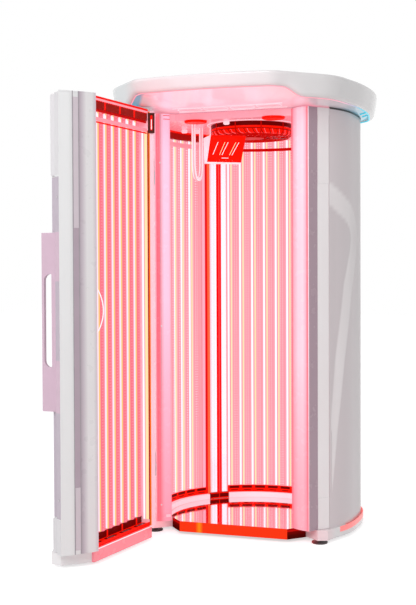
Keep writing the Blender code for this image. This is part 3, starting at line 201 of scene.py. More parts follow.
EDGE_PLATES = ((0.235, HANDLE[0]), (HANDLE[3], 1.757))
EDGE_CAP_WIDTH = 0.0405
EDGE_PLATE_WIDTH = 0.0355
FLANK_SCREWS = (0.318, 1.667)

# Bow pull inside the door: the middle between its ends, half its height, and how far it bows
PULL_MIDDLE = at(0.2865, -0.2245, 1.161)
PULL_HALF = 0.102
PULL_BOW = at(-0.012, 0.026)
PULL_RADIUS = 0.0026
PULL_STEPS = 14

# Trim stands this far off the face that it lies on
LIFT = 0.0003

# Control panel, fan and grab bar
PANEL_MIDDLE = at(-0.113, -0.034, 1.896)
PANEL_YAW = 35.0
PANEL_LEAN = math.atan2(0.09, 0.1336)
PANEL_PLACE = (Matrix.Translation(PANEL_MIDDLE) @ Matrix.Rotation(math.radians(PANEL_YAW), 4, "Z")
               @ Matrix.Rotation(PANEL_LEAN, 4, "X"))
FACE_SIZE = (0.17, 0.128)
FACE_FILLET = 0.008
FACE_BOTTOM = 0.0245
FACE_THICKNESS = 0.0032
FACE_LINE_WIDTH = 0.0028
WHITE_LINES = ((-0.067, 0.052, -0.05, 0.124), (-0.019, 0.05, 0.003, 0.124), (0.034, 0.05, 0.06, 0.124),
               (-0.018, 0.0325, 0.018, 0.0325))
YELLOW_LINES = ((-0.032, 0.05, -0.014, 0.124), (0.021, 0.05, 0.044, 0.124))
BOWL_RADIUS = 0.1885
FAN_BOWL = ((BOWL_RADIUS, 2.101), (BOWL_RADIUS, 2.19), (0.02, 2.196), (0.02, 2.198),
            (BOWL_RADIUS + 0.002, 2.192))
BOWL_STEPS = 40
GUARD_RIM = ((0.2105, 2.075), (0.2105, 2.054), (0.205, 2.044), (0.19, 2.039), (0.125, 2.0365))
GUARD_COLLAR = ((0.2105, 2.097), (0.2105, 2.0765))
GUARD_WIRE = ((0.2115, 2.06, 0.004), (0.206, 2.0425, 0.012), (0.19, 2.0375, 0.022), (0.12, 2.0345, 0.04),
              (0.064, 2.034, 0.046))
GUARD_SKIN = 0.0008
GUARD_STEPS = 48
GUARD_WIRES = 30
GUARD_RING_RADIUS = 0.2113
GUARD_RING_HEIGHTS = (2.0955, 2.078, 2.062)
GRAB_FEET = (at(-0.253, -0.105, INSIDE_TOP), at(-0.291, 0.105, INSIDE_TOP))
GRAB_DROP = 0.197
GRAB_BEND = 0.08
GRAB_RADIUS = 0.0105


# Materials

BLACK = (0.0, 0.0, 0.0)
DULL = 0.03
SHADER_INPUTS = {"coat": "Coat Weight", "coat_roughness": "Coat Roughness", "metallic": "Metallic",
                 "normal": "Normal", "shine": "Specular IOR Level"}


class Nodes:
    """A node tree with short ways to add to it."""

    def __init__(self, tree):
        self.tree = tree

    def feed(self, socket, value):
        """Link an output to a socket, or set the socket to a number, a vector or a colour."""
        if isinstance(value, bpy.types.NodeSocket):
            self.tree.links.new(value, socket)
        elif isinstance(value, tuple):
            socket.default_value = (*value, 1.0)
        else:
            socket.default_value = value

    def add(self, kind, inputs=None, **settings):
        node = self.tree.nodes.new("ShaderNode" + kind)
        for key, value in settings.items():
            setattr(node, key, value)
        for key, value in (inputs or {}).items():
            self.feed(node.inputs[key], value)
        return node

    def maths(self, operation, first, second=0.0):
        return self.add("Math", {0: first, 1: second}, operation=operation).outputs[0]

    def times(self, first, second):
        return self.maths("MULTIPLY", first, second)

    def above(self, value, limit):
        return self.maths("GREATER_THAN", value, limit)

    def below(self, value, limit):
        return self.maths("LESS_THAN", value, limit)

    def apart(self, first, second):
        return self.maths("ABSOLUTE", self.maths("SUBTRACT", first, second))

    def split(self, vector):
        return self.add("SeparateXYZ", {0: vector}).outputs

    def place(self):
        return self.split(self.add("TexCoord").outputs["Object"])

    def normal(self):
        return self.add("NewGeometry").outputs["Normal"]

    def wrapped(self, name):
        """The coordinates of a wrap that a mesh carries."""
        return self.split(self.add("UVMap", uv_map=name).outputs["UV"])[:2]

    def reach(self, vector, axis):
        """The part of a vector along an axis."""
        return self.add("VectorMath", {0: vector, 1: axis}, operation="DOT_PRODUCT").outputs["Value"]

    def spread(self, value, low, high, bottom=0.0, top=1.0):
        """Map a value from low..high to bottom..top."""
        limits = {"From Min": low, "From Max": high, "To Min": bottom, "To Max": top}
        return self.add("MapRange", {"Value": value, **limits}).outputs["Result"]

    def noise(self, scale, detail=3.0):
        place = self.add("TexCoord").outputs["Object"]
        return self.add("TexNoise", {"Vector": place, "Scale": scale, "Detail": detail}).outputs["Fac"]

    def ramp(self, value, *stops):
        """A colour ramp through stops of a place and a colour."""
        node = self.add("ValToRGB", {"Fac": value})
        entries = node.color_ramp.elements
        while len(entries) < len(stops):
            entries.new(0.5)
        for entry, (place, colour) in zip(entries, stops):
            entry.position = place
            entry.color = (*colour, 1.0)
        return node.outputs["Color"]

    def drift(self, scale, shade, colour, detail=3.0):
        """A slow change between two colours."""
        return self.ramp(self.noise(scale, detail), (0.3, shade), (0.7, colour))

    def mixed(self, share, first, second):
        return self.add("Mix", {0: share, 6: first, 7: second}, data_type="RGBA").outputs[2]

    def looked_at(self):
        """One on the rays that look at the background, straight, mirrored or through glass."""
        path = self.add("LightPath").outputs
        seen = self.maths("ADD", path["Is Camera Ray"], path["Is Glossy Ray"])
        return self.maths("MINIMUM", self.maths("ADD", seen, path["Is Transmission Ray"]), 1.0)


class Finish(Nodes):
    """A material with its shader."""

    def __init__(self, name):
        self.material = bpy.data.materials.new(name)
        self.material.use_nodes = True
        super().__init__(self.material.node_tree)
        self.shader = self.tree.nodes["Principled BSDF"]

    def give(self, inputs):
        for key, value in inputs.items():
            self.feed(self.shader.inputs[key], value)
        return self.material

    def done(self, base, roughness, scale, light=None, power=1.0, **more):
        """Give the shader a colour, a roughness that drifts a little, a light, and more by short names."""
        uneven = self.spread(self.noise(scale, 5.0), 0.0, 1.0, max(roughness - 0.04, 0.02), roughness + 0.05)
        inputs = {"Base Color": base, "Roughness": uneven}
        if light is not None:
            inputs.update({"Emission Color": light, "Emission Strength": power})
        inputs.update({SHADER_INPUTS[key]: value for key, value in more.items()})
        return self.give(inputs)

    def varied(self, colour, shade, roughness, scale, coat=0.0, grain=0.0, **more):
        """A slow colour drift, slight roughness change and, where asked, a fine moulded grain."""
        if grain > 0.0:
            bump = {"Strength": grain, "Distance": 0.0004, "Height": self.noise(900.0, 2.0)}
            more["normal"] = self.add("Bump", bump).outputs["Normal"]
        base = self.drift(scale, shade, colour, 4.0)
        return self.done(base, roughness, scale * 6.0, coat=coat, coat_roughness=0.06, **more)


def varied(name, *sizes, **more):
    return Finish(name).varied(*sizes, **more)


def lit(name, colour, shade, roughness, light, power, scale, coat=0.0, **more):
    """A varied finish with a painted glow that stands for the lamps' light around it."""
    return Finish(name).varied(colour, shade, roughness, scale, coat, light=light, power=power, **more)


def dull(name, *sizes):
    """A lit finish with little mirror sheen, so that its own colour stays full."""
    return lit(name, *sizes, shine=DULL)


def tube_finish(name, body, edge, dot, yellow, white):
    """A lit tube: the turn round it is u and the height is v, with two rows of lamps behind the glass."""
    look = Finish(name)
    turn, height = look.wrapped("wrap")
    # The white and yellow stripes down one side are painted reflections of the lamps on the glass
    colour = look.ramp(turn, (0.0, edge), (0.25, edge), (0.4, body), (0.62, body), (0.65, edge),
                       (0.66, yellow), (0.705, yellow), (0.72, white), (0.79, white), (0.81, edge),
                       (1.0, edge))
    in_row = look.below(look.apart(look.apart(turn, 0.5), 0.055), 0.024)
    beat = look.maths("FRACT", look.times(height, 72.0))
    bright = look.times(in_row, look.below(beat, 0.5))
    return look.done((0.12, 0.03, 0.035), 0.24, 40.0, look.mixed(bright, colour, dot), 0.95, shine=0.15)


def column_finish(name, middle):
    """A mirror column with painted lamp reflections and shade: its bands follow the turn about the cabin,
    its flanks the depth.
    """
    look = Finish(name)
    x, y = look.place()[:2]
    y = look.maths("SUBTRACT", y, CABIN_MIDDLE.y)
    turn = look.maths("ARCTAN2", y, x)
    edges = [math.radians(middle + side * COLUMN_HALF_ANGLE) for side in (1.0, -1.0)]
    share = look.spread(turn, *edges)
    deep, orange, pink = (0.45, 0.0, 0.002), (1.0, 0.12, 0.04), (1.0, 0.42, 0.46)
    white, red, lamp = (1.0, 0.76, 0.85), (0.85, 0.0, 0.0), (1.0, 0.38, 0.46)
    front = look.ramp(share, (0.0, orange), (0.07, pink), (0.2, white), (0.3, (1.0, 0.66, 0.76)),
                      (0.36, white), (0.46, white), (0.49, red), (0.66, red), (0.69, white), (0.9, white),
                      (1.0, pink))
    reach = look.maths("SQRT", look.maths("ADD", look.times(x, x), look.times(y, y)))
    depth = look.spread(reach, COLUMN_INNER, COLUMN_OUTER)
    flank = look.ramp(depth, (0.0, orange), (0.28, orange), (0.4, deep), (0.6, deep), (0.68, lamp),
                      (1.0, lamp))
    side = look.times(look.above(depth, 0.04), look.above(look.apart(share, 0.5), 0.25))
    colour = look.mixed(side, front, flank)
    return look.done(colour, 0.2, 30.0, colour, 0.75, metallic=0.8)


def platform_finish():
    """A mirror top on a plate with painted light: an orange-red glow and glint on its front, dark shade and
    a red band on its chamfers.
    """
    look = Finish("platform_mirror")
    x, _, z = look.place()
    normal = look.split(look.normal())
    top = look.above(normal[2], 0.5)
    front = look.below(normal[1], -0.9)
    painted_glint = look.ramp(look.spread(look.apart(x, -0.178), 0.0, 0.02),
                       (0.0, (1.0, 0.28, 0.01)), (1.0, (1.0, 0.04, 0.008)))
    dark = look.ramp(look.spread(z, 0.03, SEAT), (0.0, (0.05, 0.001, 0.001)), (0.55, (0.16, 0.001, 0.001)),
                     (0.62, (0.6, 0.004, 0.004)), (1.0, (0.3, 0.002, 0.002)))
    base = look.mixed(top, (0.03, 0.002, 0.001), (0.96, 0.84, 0.85))
    light = look.mixed(top, look.mixed(front, dark, painted_glint), BLACK)
    return look.done(base, 0.05, 60.0, light, 0.95, metallic=top, shine=look.times(top, 0.5))


def left_post_finish():
    """White post with painted red lamp light: bands from its outer to its inner edge, painted shade in a
    groove between them, redder low down.
    """
    look = Finish("left_post_white")
    x, _, z = look.place()
    strong, groove, pale, soft = (1.0, 0.17, 0.24), (0.6, 0.34, 0.42), (1.0, 0.62, 0.8), (1.0, 0.46, 0.58)
    share = look.spread(x, LEFT_POST[0].x, LEFT_POST[1].x)
    across = look.ramp(share, (0.0, soft), (0.06, soft), (0.1, strong), (0.34, strong), (0.37, groove),
                       (0.42, groove), (0.46, soft), (0.62, pale), (0.92, pale), (1.0, soft))
    colour = look.mixed(look.times(look.spread(z, 1.2, SEAT), 0.6), across, (1.0, 0.18, 0.25))
    return look.done(colour, 0.26, 20.0, colour, 0.22, coat=0.2)


def right_post_finish():
    """White post with painted red lamp light, warmer towards the floor, and mauve on its outer flank, which
    takes none of the painted light.
    """
    look = Finish("right_post_white")
    x, _, z = look.place()
    edge, rose, pale = (1.0, 0.24, 0.3), (1.0, 0.56, 0.68), (1.0, 0.84, 0.95)
    share = look.spread(x, RIGHT_POST[0].x, RIGHT_POST[1].x)
    across = look.ramp(share, (0.0, edge), (0.06, edge), (0.14, rose), (0.4, pale), (0.68, pale),
                       (0.84, rose), (0.89, edge), (0.94, edge), (0.97, pale), (1.0, pale))
    front = look.mixed(look.times(look.spread(z, 0.9, SEAT), 0.6), across, (1.0, 0.28, 0.36))
    flank = look.above(look.split(look.normal())[0], 0.7)
    base = look.mixed(flank, front, (0.44, 0.31, 0.37))
    return look.done(base, 0.26, 20.0, look.mixed(flank, front, BLACK), 0.1, coat=0.2)


def soffit_finish():
    """White soffit with painted light, pink over the doorway, bluish at the far sides and teal in the left
    corner, and painted shade at the far sides and in that corner.
    """
    look = Finish("soffit_white")
    x, y = look.place()[:2]
    ends = look.times(look.spread(x, -0.37, -0.3), look.spread(x, 0.5, 0.2))
    front = look.times(look.spread(y, -0.18, -0.36), ends)
    far = look.spread(y, -0.14, 0.1)
    slant = look.maths("ADD", look.times(x, 0.841), look.times(y, 0.541))
    corner = look.spread(slant, -0.578, -0.594)
    cool = look.ramp(far, (0.0, (0.06, 0.05, 0.06)), (0.5, (0.02, 0.09, 0.13)), (1.0, (0.0, 0.14, 0.2)))
    light = look.mixed(front, look.mixed(corner, cool, (0.03, 0.27, 0.37)), (0.52, 0.24, 0.31))
    white = look.mixed(far, (0.86, 0.8, 0.82), (0.28, 0.3, 0.36))
    return look.done(look.mixed(corner, white, (0.22, 0.26, 0.29)), 0.2, 20.0, light, coat=0.3)


def lip_light_finish():
    """The blue lamp line along the lip: cyan at the far sides, and painted pink light of the red lamps over
    the doorway.
    """
    look = Finish("lip_light")
    share = look.spread(look.place()[1], -0.42, 0.06)
    light = look.ramp(share, (0.0, (1.0, 0.36, 0.46)), (0.35, (0.9, 0.42, 0.55)), (0.6, (0.42, 0.4, 0.62)),
                      (0.85, (0.04, 0.52, 0.7)), (1.0, (0.0, 0.6, 0.78)))
    return look.done((0.1, 0.1, 0.1), 0.35, 20.0, light, 0.9)


def canopy_finish():
    """White canopy with painted pink lamp light over the doorway and painted cool shade on its left facet.
    """
    look = Finish("canopy_white")
    x, y = look.place()[:2]
    ends = look.times(look.spread(x, -0.42, -0.26), look.spread(x, 0.52, 0.1))
    front = look.times(look.spread(y, -0.35, -0.62), ends)
    facet = look.times(look.spread(x, -0.34, -0.44), look.spread(y, -0.3, -0.42))
    white = look.drift(2.0, (0.775, 0.755, 0.762), (0.79, 0.77, 0.777))
    base = look.mixed(front, look.mixed(facet, white, (0.745, 0.785, 0.797)), (0.93, 0.84, 0.87))
    return look.done(base, 0.16, 12.0, coat=0.35, coat_roughness=0.06)


def housing_finish():
    """White panel housing with a red glossy front inside a white rim, both glowing with painted lamp light.
    """
    look = Finish("panel_housing")
    turned = PANEL_PLACE.to_3x3()
    up = turned @ UP
    geometry = look.add("NewGeometry").outputs
    facing = look.above(look.reach(geometry["Normal"], turned @ at(0.0, -1.0)), 0.96)
    height = look.maths("SUBTRACT", look.reach(geometry["Position"], up), PANEL_MIDDLE.dot(up))
    red = look.times(facing, look.above(height, 0.006))
    base = look.mixed(red, look.drift(12.0, (0.8, 0.7, 0.73), (0.83, 0.73, 0.76)), (0.36, 0.002, 0.001))
    light = look.mixed(red, (0.44, 0.36, 0.39), (0.75, 0.005, 0.001))
    return look.done(base, 0.3, 40.0, light, shine=0.04)


def grab_finish():
    """White bar with painted reflections of the red lamps: pink along its middle and pale along its edges.
    """
    look = Finish("grab_white")
    share = look.spread(look.reach(look.normal(), at(0.94, 0.34)), -1.0, 1.0)
    colour = look.ramp(share, (0.0, (1.0, 0.74, 0.78)), (0.18, (1.0, 0.84, 0.88)), (0.4, (1.0, 0.36, 0.4)),
                       (0.62, (1.0, 0.4, 0.44)), (0.82, (1.0, 0.84, 0.88)), (1.0, (1.0, 0.6, 0.66)))
    return look.done(colour, 0.2, 30.0, colour, 0.45)


def cover_finish(name, colour, light):
    """Side cover white, with painted light on the sloped band of its pressed leaf and painted shade towards
    the back.
    """
    look = Finish(name)
    band = look.wrapped("leaf")[0]
    white = look.drift(2.0, tuple(0.98 * part for part in colour), colour)
    back = look.times(look.spread(look.place()[1], 0.02, 0.3), 0.9)
    base = look.mixed(back, look.mixed(band, white, light), tuple(0.74 * part for part in colour))
    return look.done(base, 0.3, 18.0, shine=0.25, coat=0.08)


def foot_finish():
    """Black rubber foot with a painted red gleam from the platform beside it."""
    look = Finish("red_lit_rubber")
    share = look.spread(look.place()[0], 0.4, 0.445)
    gleam = look.ramp(share, (0.0, (0.36, 0.0, 0.002)), (0.5, (0.1, 0.0, 0.002)), (1.0, BLACK))
    return look.varied((0.03, 0.012, 0.014), (0.018, 0.008, 0.01), 0.35, 40.0, 0.2, 0.3,
                       light=gleam, power=0.8)


def base_finish():
    """White base with painted red lamp light near the doorway."""
    look = Finish("base_white")
    x, y = look.place()[:2]
    near = look.spread(y, -0.13, -0.235)
    left = look.times(near, look.spread(x, 0.0, -0.3))
    base = look.mixed(near, look.drift(5.0, (0.82, 0.8, 0.81), (0.88, 0.86, 0.87)), (0.98, 0.77, 0.8))
    return look.done(base, 0.22, 24.0, look.mixed(left, BLACK, (0.55, 0.22, 0.25)), coat=0.3)


def extrusion_finish():
    """The door edge's rounded extrusion: painted mauve shade at its gap, white in the middle, painted pink
    lamp light towards the lamps.
    """
    look = Finish("stile_extrusion")
    colour = look.ramp(look.wrapped("across")[0], (0.0, (0.4, 0.33, 0.38)), (0.14, (0.55, 0.48, 0.53)),
                       (0.4, (0.79, 0.77, 0.78)), (0.75, (0.82, 0.81, 0.82)), (0.9, (0.72, 0.67, 0.7)),
                       (1.0, (0.84, 0.64, 0.73)))
    return look.done(colour, 0.28, 20.0)


WHITE = varied("white_gloss", (0.88, 0.85, 0.86), (0.85, 0.82, 0.83), 0.2, 4.0, 0.35)
CANOPY_WHITE = canopy_finish()
STRIP_WHITE = varied("strip_white", (0.92, 0.88, 0.89), (0.9, 0.85, 0.86), 0.2, 4.0, 0.35)
LEFT_COVER = cover_finish("left_cover_white", (0.84, 0.81, 0.82), (0.9, 0.88, 0.88))
# The right cover's white is darker and pinker than the left's: painted shade and red lamp light on the same
# white
RIGHT_COVER = cover_finish("right_cover_white", (0.76, 0.69, 0.71), (0.92, 0.87, 0.88))
STILE_WHITE = varied("stile_white", (0.815, 0.815, 0.82), (0.805, 0.805, 0.81), 0.3, 3.0, 0.08)
EDGE_GREY = varied("door_edge_grey", (0.73, 0.71, 0.73), (0.71, 0.69, 0.71), 0.3, 6.0, 0.08)
# White with painted pink light and glow of the red lamps
RED_LAMP_WHITE = lit("pink_lit_white", (0.96, 0.66, 0.74), (0.94, 0.62, 0.7), 0.26, (1.0, 0.62, 0.72),
                 0.16, 5.0, 0.2)
# The kick plate glows with painted lamp light
KICK_PINK = lit("pink_kick_plate", (0.96, 0.26, 0.32), (0.94, 0.23, 0.29), 0.26, (1.0, 0.24, 0.3),
                0.16, 3.0, 0.2)
LILAC = varied("lilac_satin", (0.53, 0.46, 0.53), (0.51, 0.44, 0.51), 0.38, 14.0, 0.0, 0.15)
SEAL = varied("seal_lilac", (0.66, 0.58, 0.63), (0.64, 0.56, 0.61), 0.34, 14.0, 0.0, 0.1)
# Lilac of the stile's groove, darkened by painted shade of the recess
GROOVE = varied("groove_lilac", (0.46, 0.37, 0.43), (0.44, 0.35, 0.41), 0.4, 14.0)
ROSE_LILAC = varied("rose_lilac_satin", (0.66, 0.47, 0.58), (0.63, 0.45, 0.55), 0.34, 14.0, 0.1, 0.1)
GREY_LINE = varied("grey_gap", (0.4, 0.36, 0.39), (0.34, 0.31, 0.34), 0.4, 14.0)
STEEL = varied("zinc_steel", (0.62, 0.62, 0.64), (0.5, 0.5, 0.52), 0.3, 30.0, 0.0, 0.1, metallic=1.0)
# Reflectors with a painted pink glow of the lamps' reflected light
REFLECTOR = lit("pink_reflector", (0.3, 0.12, 0.14), (0.26, 0.1, 0.12), 0.25, (1.0, 0.4, 0.46), 0.7, 20.0)
DOOR_REFLECTOR = lit("door_reflector", (0.3, 0.08, 0.09), (0.26, 0.06, 0.07), 0.25, (1.0, 0.22, 0.28),
                     0.8, 20.0)
# White ceiling painted pink, with a painted glow of the lamps' light
CEILING = lit("ceiling_white", (0.62, 0.3, 0.35), (0.58, 0.27, 0.32), 0.26, (1.0, 0.34, 0.42),
              0.45, 8.0, 0.2)
# White with a painted glow of the lamps' light
LIT_WHITE = lit("lit_white", (0.9, 0.8, 0.83), (0.88, 0.76, 0.8), 0.2, (1.0, 0.74, 0.8), 0.4, 12.0, 0.3)
# White kick rails with painted shade and a painted glow of the lamps' light
KICK_WHITE = lit("kick_white", (0.6, 0.46, 0.5), (0.56, 0.42, 0.46), 0.24, (1.0, 0.66, 0.74),
                 0.62, 12.0, 0.2)
# Red plastics and the orange edge, each with a painted glow of the red lamps' light
RED = dull("red_gloss", (0.4, 0.004, 0.002), (0.34, 0.002, 0.001), 0.3, (1.0, 0.008, 0.001), 0.68, 12.0)
FAN_RED = dull("fan_red", (0.3, 0.002, 0.001), (0.22, 0.001, 0.001), 0.35, (0.9, 0.004, 0.001), 0.4, 12.0)
DARK_RED = dull("dark_red", (0.08, 0.002, 0.002), (0.05, 0.001, 0.001), 0.35, (0.5, 0.001, 0.001), 0.18,
                14.0)
BAR_RED = dull("bar_red", (0.25, 0.002, 0.002), (0.2, 0.001, 0.001), 0.35, (0.9, 0.002, 0.001), 0.45, 14.0)
ORANGE = dull("orange_edge", (0.4, 0.06, 0.005), (0.36, 0.05, 0.004), 0.35, (1.0, 0.2, 0.01), 0.75, 14.0)
COMB = varied("comb_brown", (0.1, 0.03, 0.024), (0.075, 0.018, 0.014), 0.45, 60.0, shine=DULL)
# Clear bars with a painted pink glow of the lamps' light
PINK_CLEAR = lit("pink_clear_bar", (0.5, 0.2, 0.24), (0.46, 0.17, 0.2), 0.15, (1.0, 0.28, 0.34),
                 0.7, 10.0, 0.2)
# White and yellow glow for painted highlights: lamp glints between the tubes, on the hinge stile and on the
# control face
WHITE_LIGHT = lit("white_light_bar", (0.3, 0.26, 0.28), (0.26, 0.24, 0.26), 0.2, (1.0, 0.88, 0.97),
                  1.0, 12.0)
YELLOW_LIGHT = lit("yellow_light_bar", (0.2, 0.15, 0.06), (0.18, 0.14, 0.06), 0.2, (1.0, 0.78, 0.44),
                   0.92, 12.0)
# A painted glow of the lamps' light in the base's vents
VENT_GLOW = lit("vent_glow", (0.6, 0.16, 0.16), (0.56, 0.13, 0.13), 0.35, (1.0, 0.2, 0.19), 0.6, 12.0)
RUBBER = varied("black_rubber", (0.03, 0.022, 0.022), (0.018, 0.013, 0.013), 0.4, 40.0, 0.0, 0.4)
DARK = varied("dark_plastic", (0.06, 0.05, 0.05), (0.035, 0.03, 0.03), 0.4, 20.0, 0.0, 0.3)
SCREEN = dull("red_screen", (0.4, 0.003, 0.001), (0.36, 0.002, 0.001), 0.1, (1.0, 0.007, 0.001), 0.75, 5.0)
TUBE = tube_finish("lamp_tube", (1.0, 0.3, 0.37), (1.0, 0.4, 0.48), (1.0, 0.7, 0.78), (1.0, 0.46, 0.5),
                   (1.0, 0.6, 0.68))
DOOR_TUBE = tube_finish("door_lamp_tube", (1.0, 0.17, 0.23), (1.0, 0.22, 0.34), (1.0, 0.3, 0.36),
                        (1.0, 0.62, 0.18), (1.0, 0.88, 1.0))
LIP_LIGHT = lip_light_finish()
SOFFIT = soffit_finish()
LEFT_POST_WHITE = left_post_finish()
RIGHT_POST_WHITE = right_post_finish()

# The solids that wear each finish
FINISHES = {
    WHITE: "back_cover door_outer_cover door_plinth",
    housing_finish(): "control_panel_housing",
    CANOPY_WHITE: "canopy_shell",
    STRIP_WHITE: "left_corner_strip right_corner_strip",
    LEFT_COVER: "left_side_cover",
    RIGHT_COVER: "right_side_cover",
    STILE_WHITE: "door_free_stile",
    LIT_WHITE: "hanging_grab_handle door_inner_pull",
    KICK_WHITE: "left_kick_rail back_kick_rail right_kick_rail",
    RED_LAMP_WHITE: "door_hinge_stile",
    KICK_PINK: "door_kick_plate",
    SEAL: "door_upper_seal_strip door_lower_seal_strip",
    ROSE_LILAC: "door_handle",
    STEEL: "lamp_driver_box lower_hinge_post_leaf lower_hinge_door_leaf lower_hinge_pin "
           "upper_hinge_post_leaf upper_hinge_door_leaf upper_hinge_pin",
    REFLECTOR: "left_reflector back_reflector right_reflector",
    DOOR_REFLECTOR: "door_reflector",
    CEILING: "ceiling_plate",
    RED: "ceiling_speaker_left ceiling_speaker_right control_key_1 control_key_2 control_key_3 "
         "door_top_rail",
    FAN_RED: "fan_guard fan_rotor",
    DARK_RED: "fan_motor",
    RUBBER: "foot_centre foot_front_left foot_rear_left foot_rear_right",
    foot_finish(): "foot_front_right",
    DARK: "power_inlet",
    LIP_LIGHT: "blue_light_strip",
    SCREEN: "control_screen",
    TUBE: "left_lamp_bank back_lamp_bank right_lamp_bank",
    DOOR_TUBE: "door_lamp_bank",
    platform_finish(): "platform",
    LEFT_POST_WHITE: "left_door_post",
    RIGHT_POST_WHITE: "right_door_post",
    SOFFIT: "header_fascia",
    base_finish(): "base_ring",
    column_finish("left_column_mirror", 180.0 - COLUMN_ANGLE): "left_back_column",
    column_finish("right_column_mirror", COLUMN_ANGLE): "right_back_column",
}

# Edges: angles from which they are rounded or drawn sharp, and widths and steps of the solids' rounded ones
SOFT_ANGLE = 30.0
SHARP_ANGLE = 35.0
SOFT_EDGES = {"control_panel_housing": (0.004, 3), "door_handle": (0.005, 3), "door_plinth": (0.004, 3),
              "base_ring": (0.004, 2), "ceiling_speaker_left": (0.003, 2),
              "ceiling_speaker_right": (0.003, 2)}

# Bars of painted highlights between the lamps: turn from the lamp, radius and finish
GLINT_BARS = {"white": (4.56, 0.0055, WHITE_LIGHT), "yellow": (2.57, 0.0038, YELLOW_LIGHT)}


def dress_solids():
    for finish, names in FINISHES.items():
        for name in names.split():
            NODES[name].data.materials.clear()
            NODES[name].data.materials.append(finish)
    for name, (width, segments) in SOFT_EDGES.items():
        edge = NODES[name].modifiers.new("soft_edge", "BEVEL")
        edge.width = width
        edge.segments = segments
        edge.limit_method = "ANGLE"
        edge.angle_limit = math.radians(SOFT_ANGLE)


# Mesh helpers

def piece(name, shape, finish, replaced=None):
    """Turn a bmesh into a piece that rides on the door, if its name says so, or on the cabin."""
    body = "door" if name.startswith("door_") else "cabin"
    mesh = bpy.data.meshes.new(name)
    bmesh.ops.recalc_face_normals(shape, faces=shape.faces)
    shape.to_mesh(mesh)
    shape.free()
    if body == "door":
        mesh.transform(DOOR_SWING)
    mesh.shade_smooth()
    mesh.set_sharp_from_angle(angle=math.radians(SHARP_ANGLE))
    mesh.materials.append(finish)
    item = bpy.data.objects.new(name, mesh)
    bpy.context.scene.collection.objects.link(item)
    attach(item, body)
    if replaced is not None:
        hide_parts(replaced)


def made(name, finish, slot, *parts, replaced=None):
    """A piece made of parts. Each part is a function that adds to a shape, followed by what it takes."""
    shape = bmesh.new()
    for add_part, *sizes in parts:
        add_part(shape, *sizes)
    piece(name, shape, finish, replaced)


def circle(across, up, count):
    """Steps round a circle that is given by two directions."""
    turns = [2.0 * math.pi * k / count for k in range(count)]
    return [across * math.cos(turn) + up * math.sin(turn) for turn in turns]


def polar(radius, degrees):
    """A place about the cabin's axis, on the floor."""
    turn = math.radians(degrees)
    return CABIN_MIDDLE + at(radius * math.cos(turn), radius * math.sin(turn))


def share_of(value, start, end):
    """How far a value lies between two others, held within 0 and 1."""
    return min(max((value - start) / (end - start), 0.0), 1.0)


def eased(share):
    return share * share * (3.0 - 2.0 * share)


def facing(line, way):
    """The direction of a plan line, and its normal on the side of a way."""
    run = (line[1] - line[0]).normalized()
    out = at(-run.y, run.x)
    return run, out if out.dot(way) > 0.0 else -out


def skin(shape, loops, closed=False):
    """Skin a row of equally long loops of points, and cap the ends unless it closes on itself."""
    rings = [[shape.verts.new(point) for point in loop] for loop in loops]
    pairs = list(zip(rings, rings[1:]))
    if closed:
        pairs.append((rings[-1], rings[0]))
    else:
        shape.faces.new(rings[0])
        shape.faces.new(rings[-1])
    for here, there in pairs:
        for i in range(len(here)):
            j = (i + 1) % len(here)
            shape.faces.new((here[i], here[j], there[j], there[i]))


def add_block(shape, plan, bottom, top):
    """An upright block over a plan of points."""
    skin(shape, [[at(p.x, p.y, z) for p in plan] for z in (bottom, top)])


def add_slab(shape, corner, first, second, third):
    """A slanted box from one corner and its three edges."""
    loop = [corner, corner + first, corner + first + second, corner + second]
    skin(shape, [loop, [point + third for point in loop]])


def add_plate(shape, outline, origin, across, up, depth):
    """A flat plate: an outline of pairs laid along two directions, thick along their normal."""
    near = [origin + across * a + up * b for a, b in outline]
    push = across.cross(up).normalized() * depth
    skin(shape, [near, [point + push for point in near]])


def add_rod(shape, points, radius, sides=8, closed=False):
    """A round bar through points."""
    loops = []
    count = len(points)
    side = None
    for i, point in enumerate(points):
        before = points[i - 1] if closed or i > 0 else point
        after = points[(i + 1) % count] if closed or i < count - 1 else point
        run = (after - before).normalized()
        if side is None:
            side = run.orthogonal()
        side = (side - run * side.dot(run)).normalized()
        loops.append([point + step * radius for step in circle(side, run.cross(side), sides)])
    skin(shape, loops, closed)


def add_screw(shape, middle, outward, radius=0.004, height=0.0015):
    """A pan-head screw: a low disc with a narrower crown."""
    across = outward.orthogonal().normalized()
    steps = circle(across, outward.cross(across), 14)
    skin(shape, [[middle + outward * height * rise + step * radius * share for step in steps]
                 for share, rise in ((1.0, 0.0), (1.0, 0.6), (0.7, 1.0))])


def add_turned(shape, section, steps):
    """A ring turned about the cabin's axis from a closed section of radii and heights."""
    loops = [[polar(radius, 360.0 * i / steps) + UP * z for radius, z in section] for i in range(steps)]
    skin(shape, loops, True)


def round_box(width, height, radius, steps=5):
    """The outline of a rectangle with round corners, from its lower left corner."""
    result = []
    for x, y, start in ((width - radius, radius, -90.0), (width - radius, height - radius, 0.0),
                        (radius, height - radius, 90.0), (radius, radius, 180.0)):
        for i in range(steps + 1):
            turn = math.radians(start + 90.0 * i / steps)
            result.append((x + radius * math.cos(turn), y + radius * math.sin(turn)))
    return result


def band(start, end, inner, thick, bottom, top, count=14):
    """A part for made: an upright band round the cabin."""
    turns = [start + (end - start) * i / count for i in range(count + 1)]
    plan = [polar(inner, t) for t in turns] + [polar(inner + thick, t) for t in reversed(turns)]
    return add_block, plan, bottom, top


def along(line, share, height=0.0):
    """A point on a plan line, lifted to a height."""
    return line[0].lerp(line[1], share) + UP * height


# Lamps

